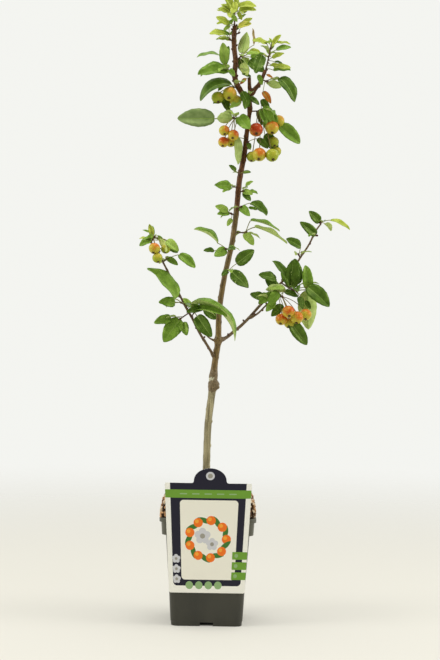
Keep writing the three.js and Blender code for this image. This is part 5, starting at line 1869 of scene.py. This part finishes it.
# %% Lay the design
design = mix(printed, 0.0, INK["cream"], INK["cream"])
design = lay(design, inside_box(0, 142, 70.5, 128, 8), "navy")
design = lay(design, inside_box(2, 104, 55, 78, 7), "panel")
design = lay(design, inside_box(0, 194, 80, 8, 1), "green")
for x in (-46, -23, 0, 23, 46):
    design = lay(design, inside_box(x, 194, 7, 1.2, 1.2), "pale_green")


def lay_flower(below, x, y, size):
    for k in range(5):
        angle = 2 * math.pi * (k + 0.25) / 5
        petal = inside_disc(x + size * math.cos(angle), y + size * math.sin(angle), 0.78 * size)
        below = lay(below, petal, "white")
    return lay(below, inside_disc(x, y, 0.55 * size), "grey")


WREATH = {"x": 0, "y": 106, "radius": 37, "count": 9}
for k in range(WREATH["count"]):
    angle = 2 * math.pi * k / WREATH["count"]
    x = WREATH["x"] + WREATH["radius"] * math.cos(angle)
    y = WREATH["y"] + WREATH["radius"] * math.sin(angle)
    leaf_angle = angle + math.pi / WREATH["count"]
    leaf_x = WREATH["x"] + WREATH["radius"] * math.cos(leaf_angle)
    leaf_y = WREATH["y"] + WREATH["radius"] * math.sin(leaf_angle)
    design = lay(design, inside_leaf(leaf_x, leaf_y, 15, 5, math.degrees(leaf_angle) + 60), "leaf")
    design = lay(design, inside_disc(x, y, 9), "orange")
    design = lay(design, inside_disc(x - 2.5, y + 2.5, 3.6), "yellow")
for x, y, size in ((-10, 112, 9), (9, 96, 7)):
    design = lay_flower(design, x, y, size)
for x, y in ((-54, 27), (-54, 47), (-54, 67)):
    design = lay_flower(design, x - 9, y, 5)
for y in (34, 54, 74):
    design = lay(design, inside_box(65, y, 15, 7.5, 1), "green")
    design = lay(design, inside_disc(58, y, 3.8), "pale_green")
for x in (-37, -17, 3, 23):
    design = lay(design, inside_disc(x, 15, 7.8), "pale_green")
design = lay(design, inside_disc(3.5, 229, 8), "white")
design = lay(design, inside_disc(3.5, 229, 4.5), "grey")
link(printed, design, "Base Color")

# %% Ink on the front, plain plastic elsewhere
plain_card = start_material("card_plastic", 0.45, Specular_IOR_Level=0.4)
card_fibres = place_noise(plain_card, 300, 3)
link(plain_card, ramp(plain_card, card_fibres, [(0.3, (0.72, 0.71, 0.66)), (0.7, (0.80, 0.79, 0.74))]),
     "Base Color")
card.data.materials.append(printed)
card.data.materials.append(plain_card)
for face in card.data.polygons:
    face.material_index = 0 if face.normal.y < -0.5 else 1
hook_piece.data.materials.append(plain_card)
bpy.ops.object.select_all(action="DESELECT")
hook_piece.select_set(True)
card.select_set(True)
bpy.context.view_layer.objects.active = card
bpy.ops.object.join()
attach(card, "root")
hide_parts("label_card")
print("card", len(card.data.polygons), "faces,", len(printed.node_tree.nodes), "nodes in the print")
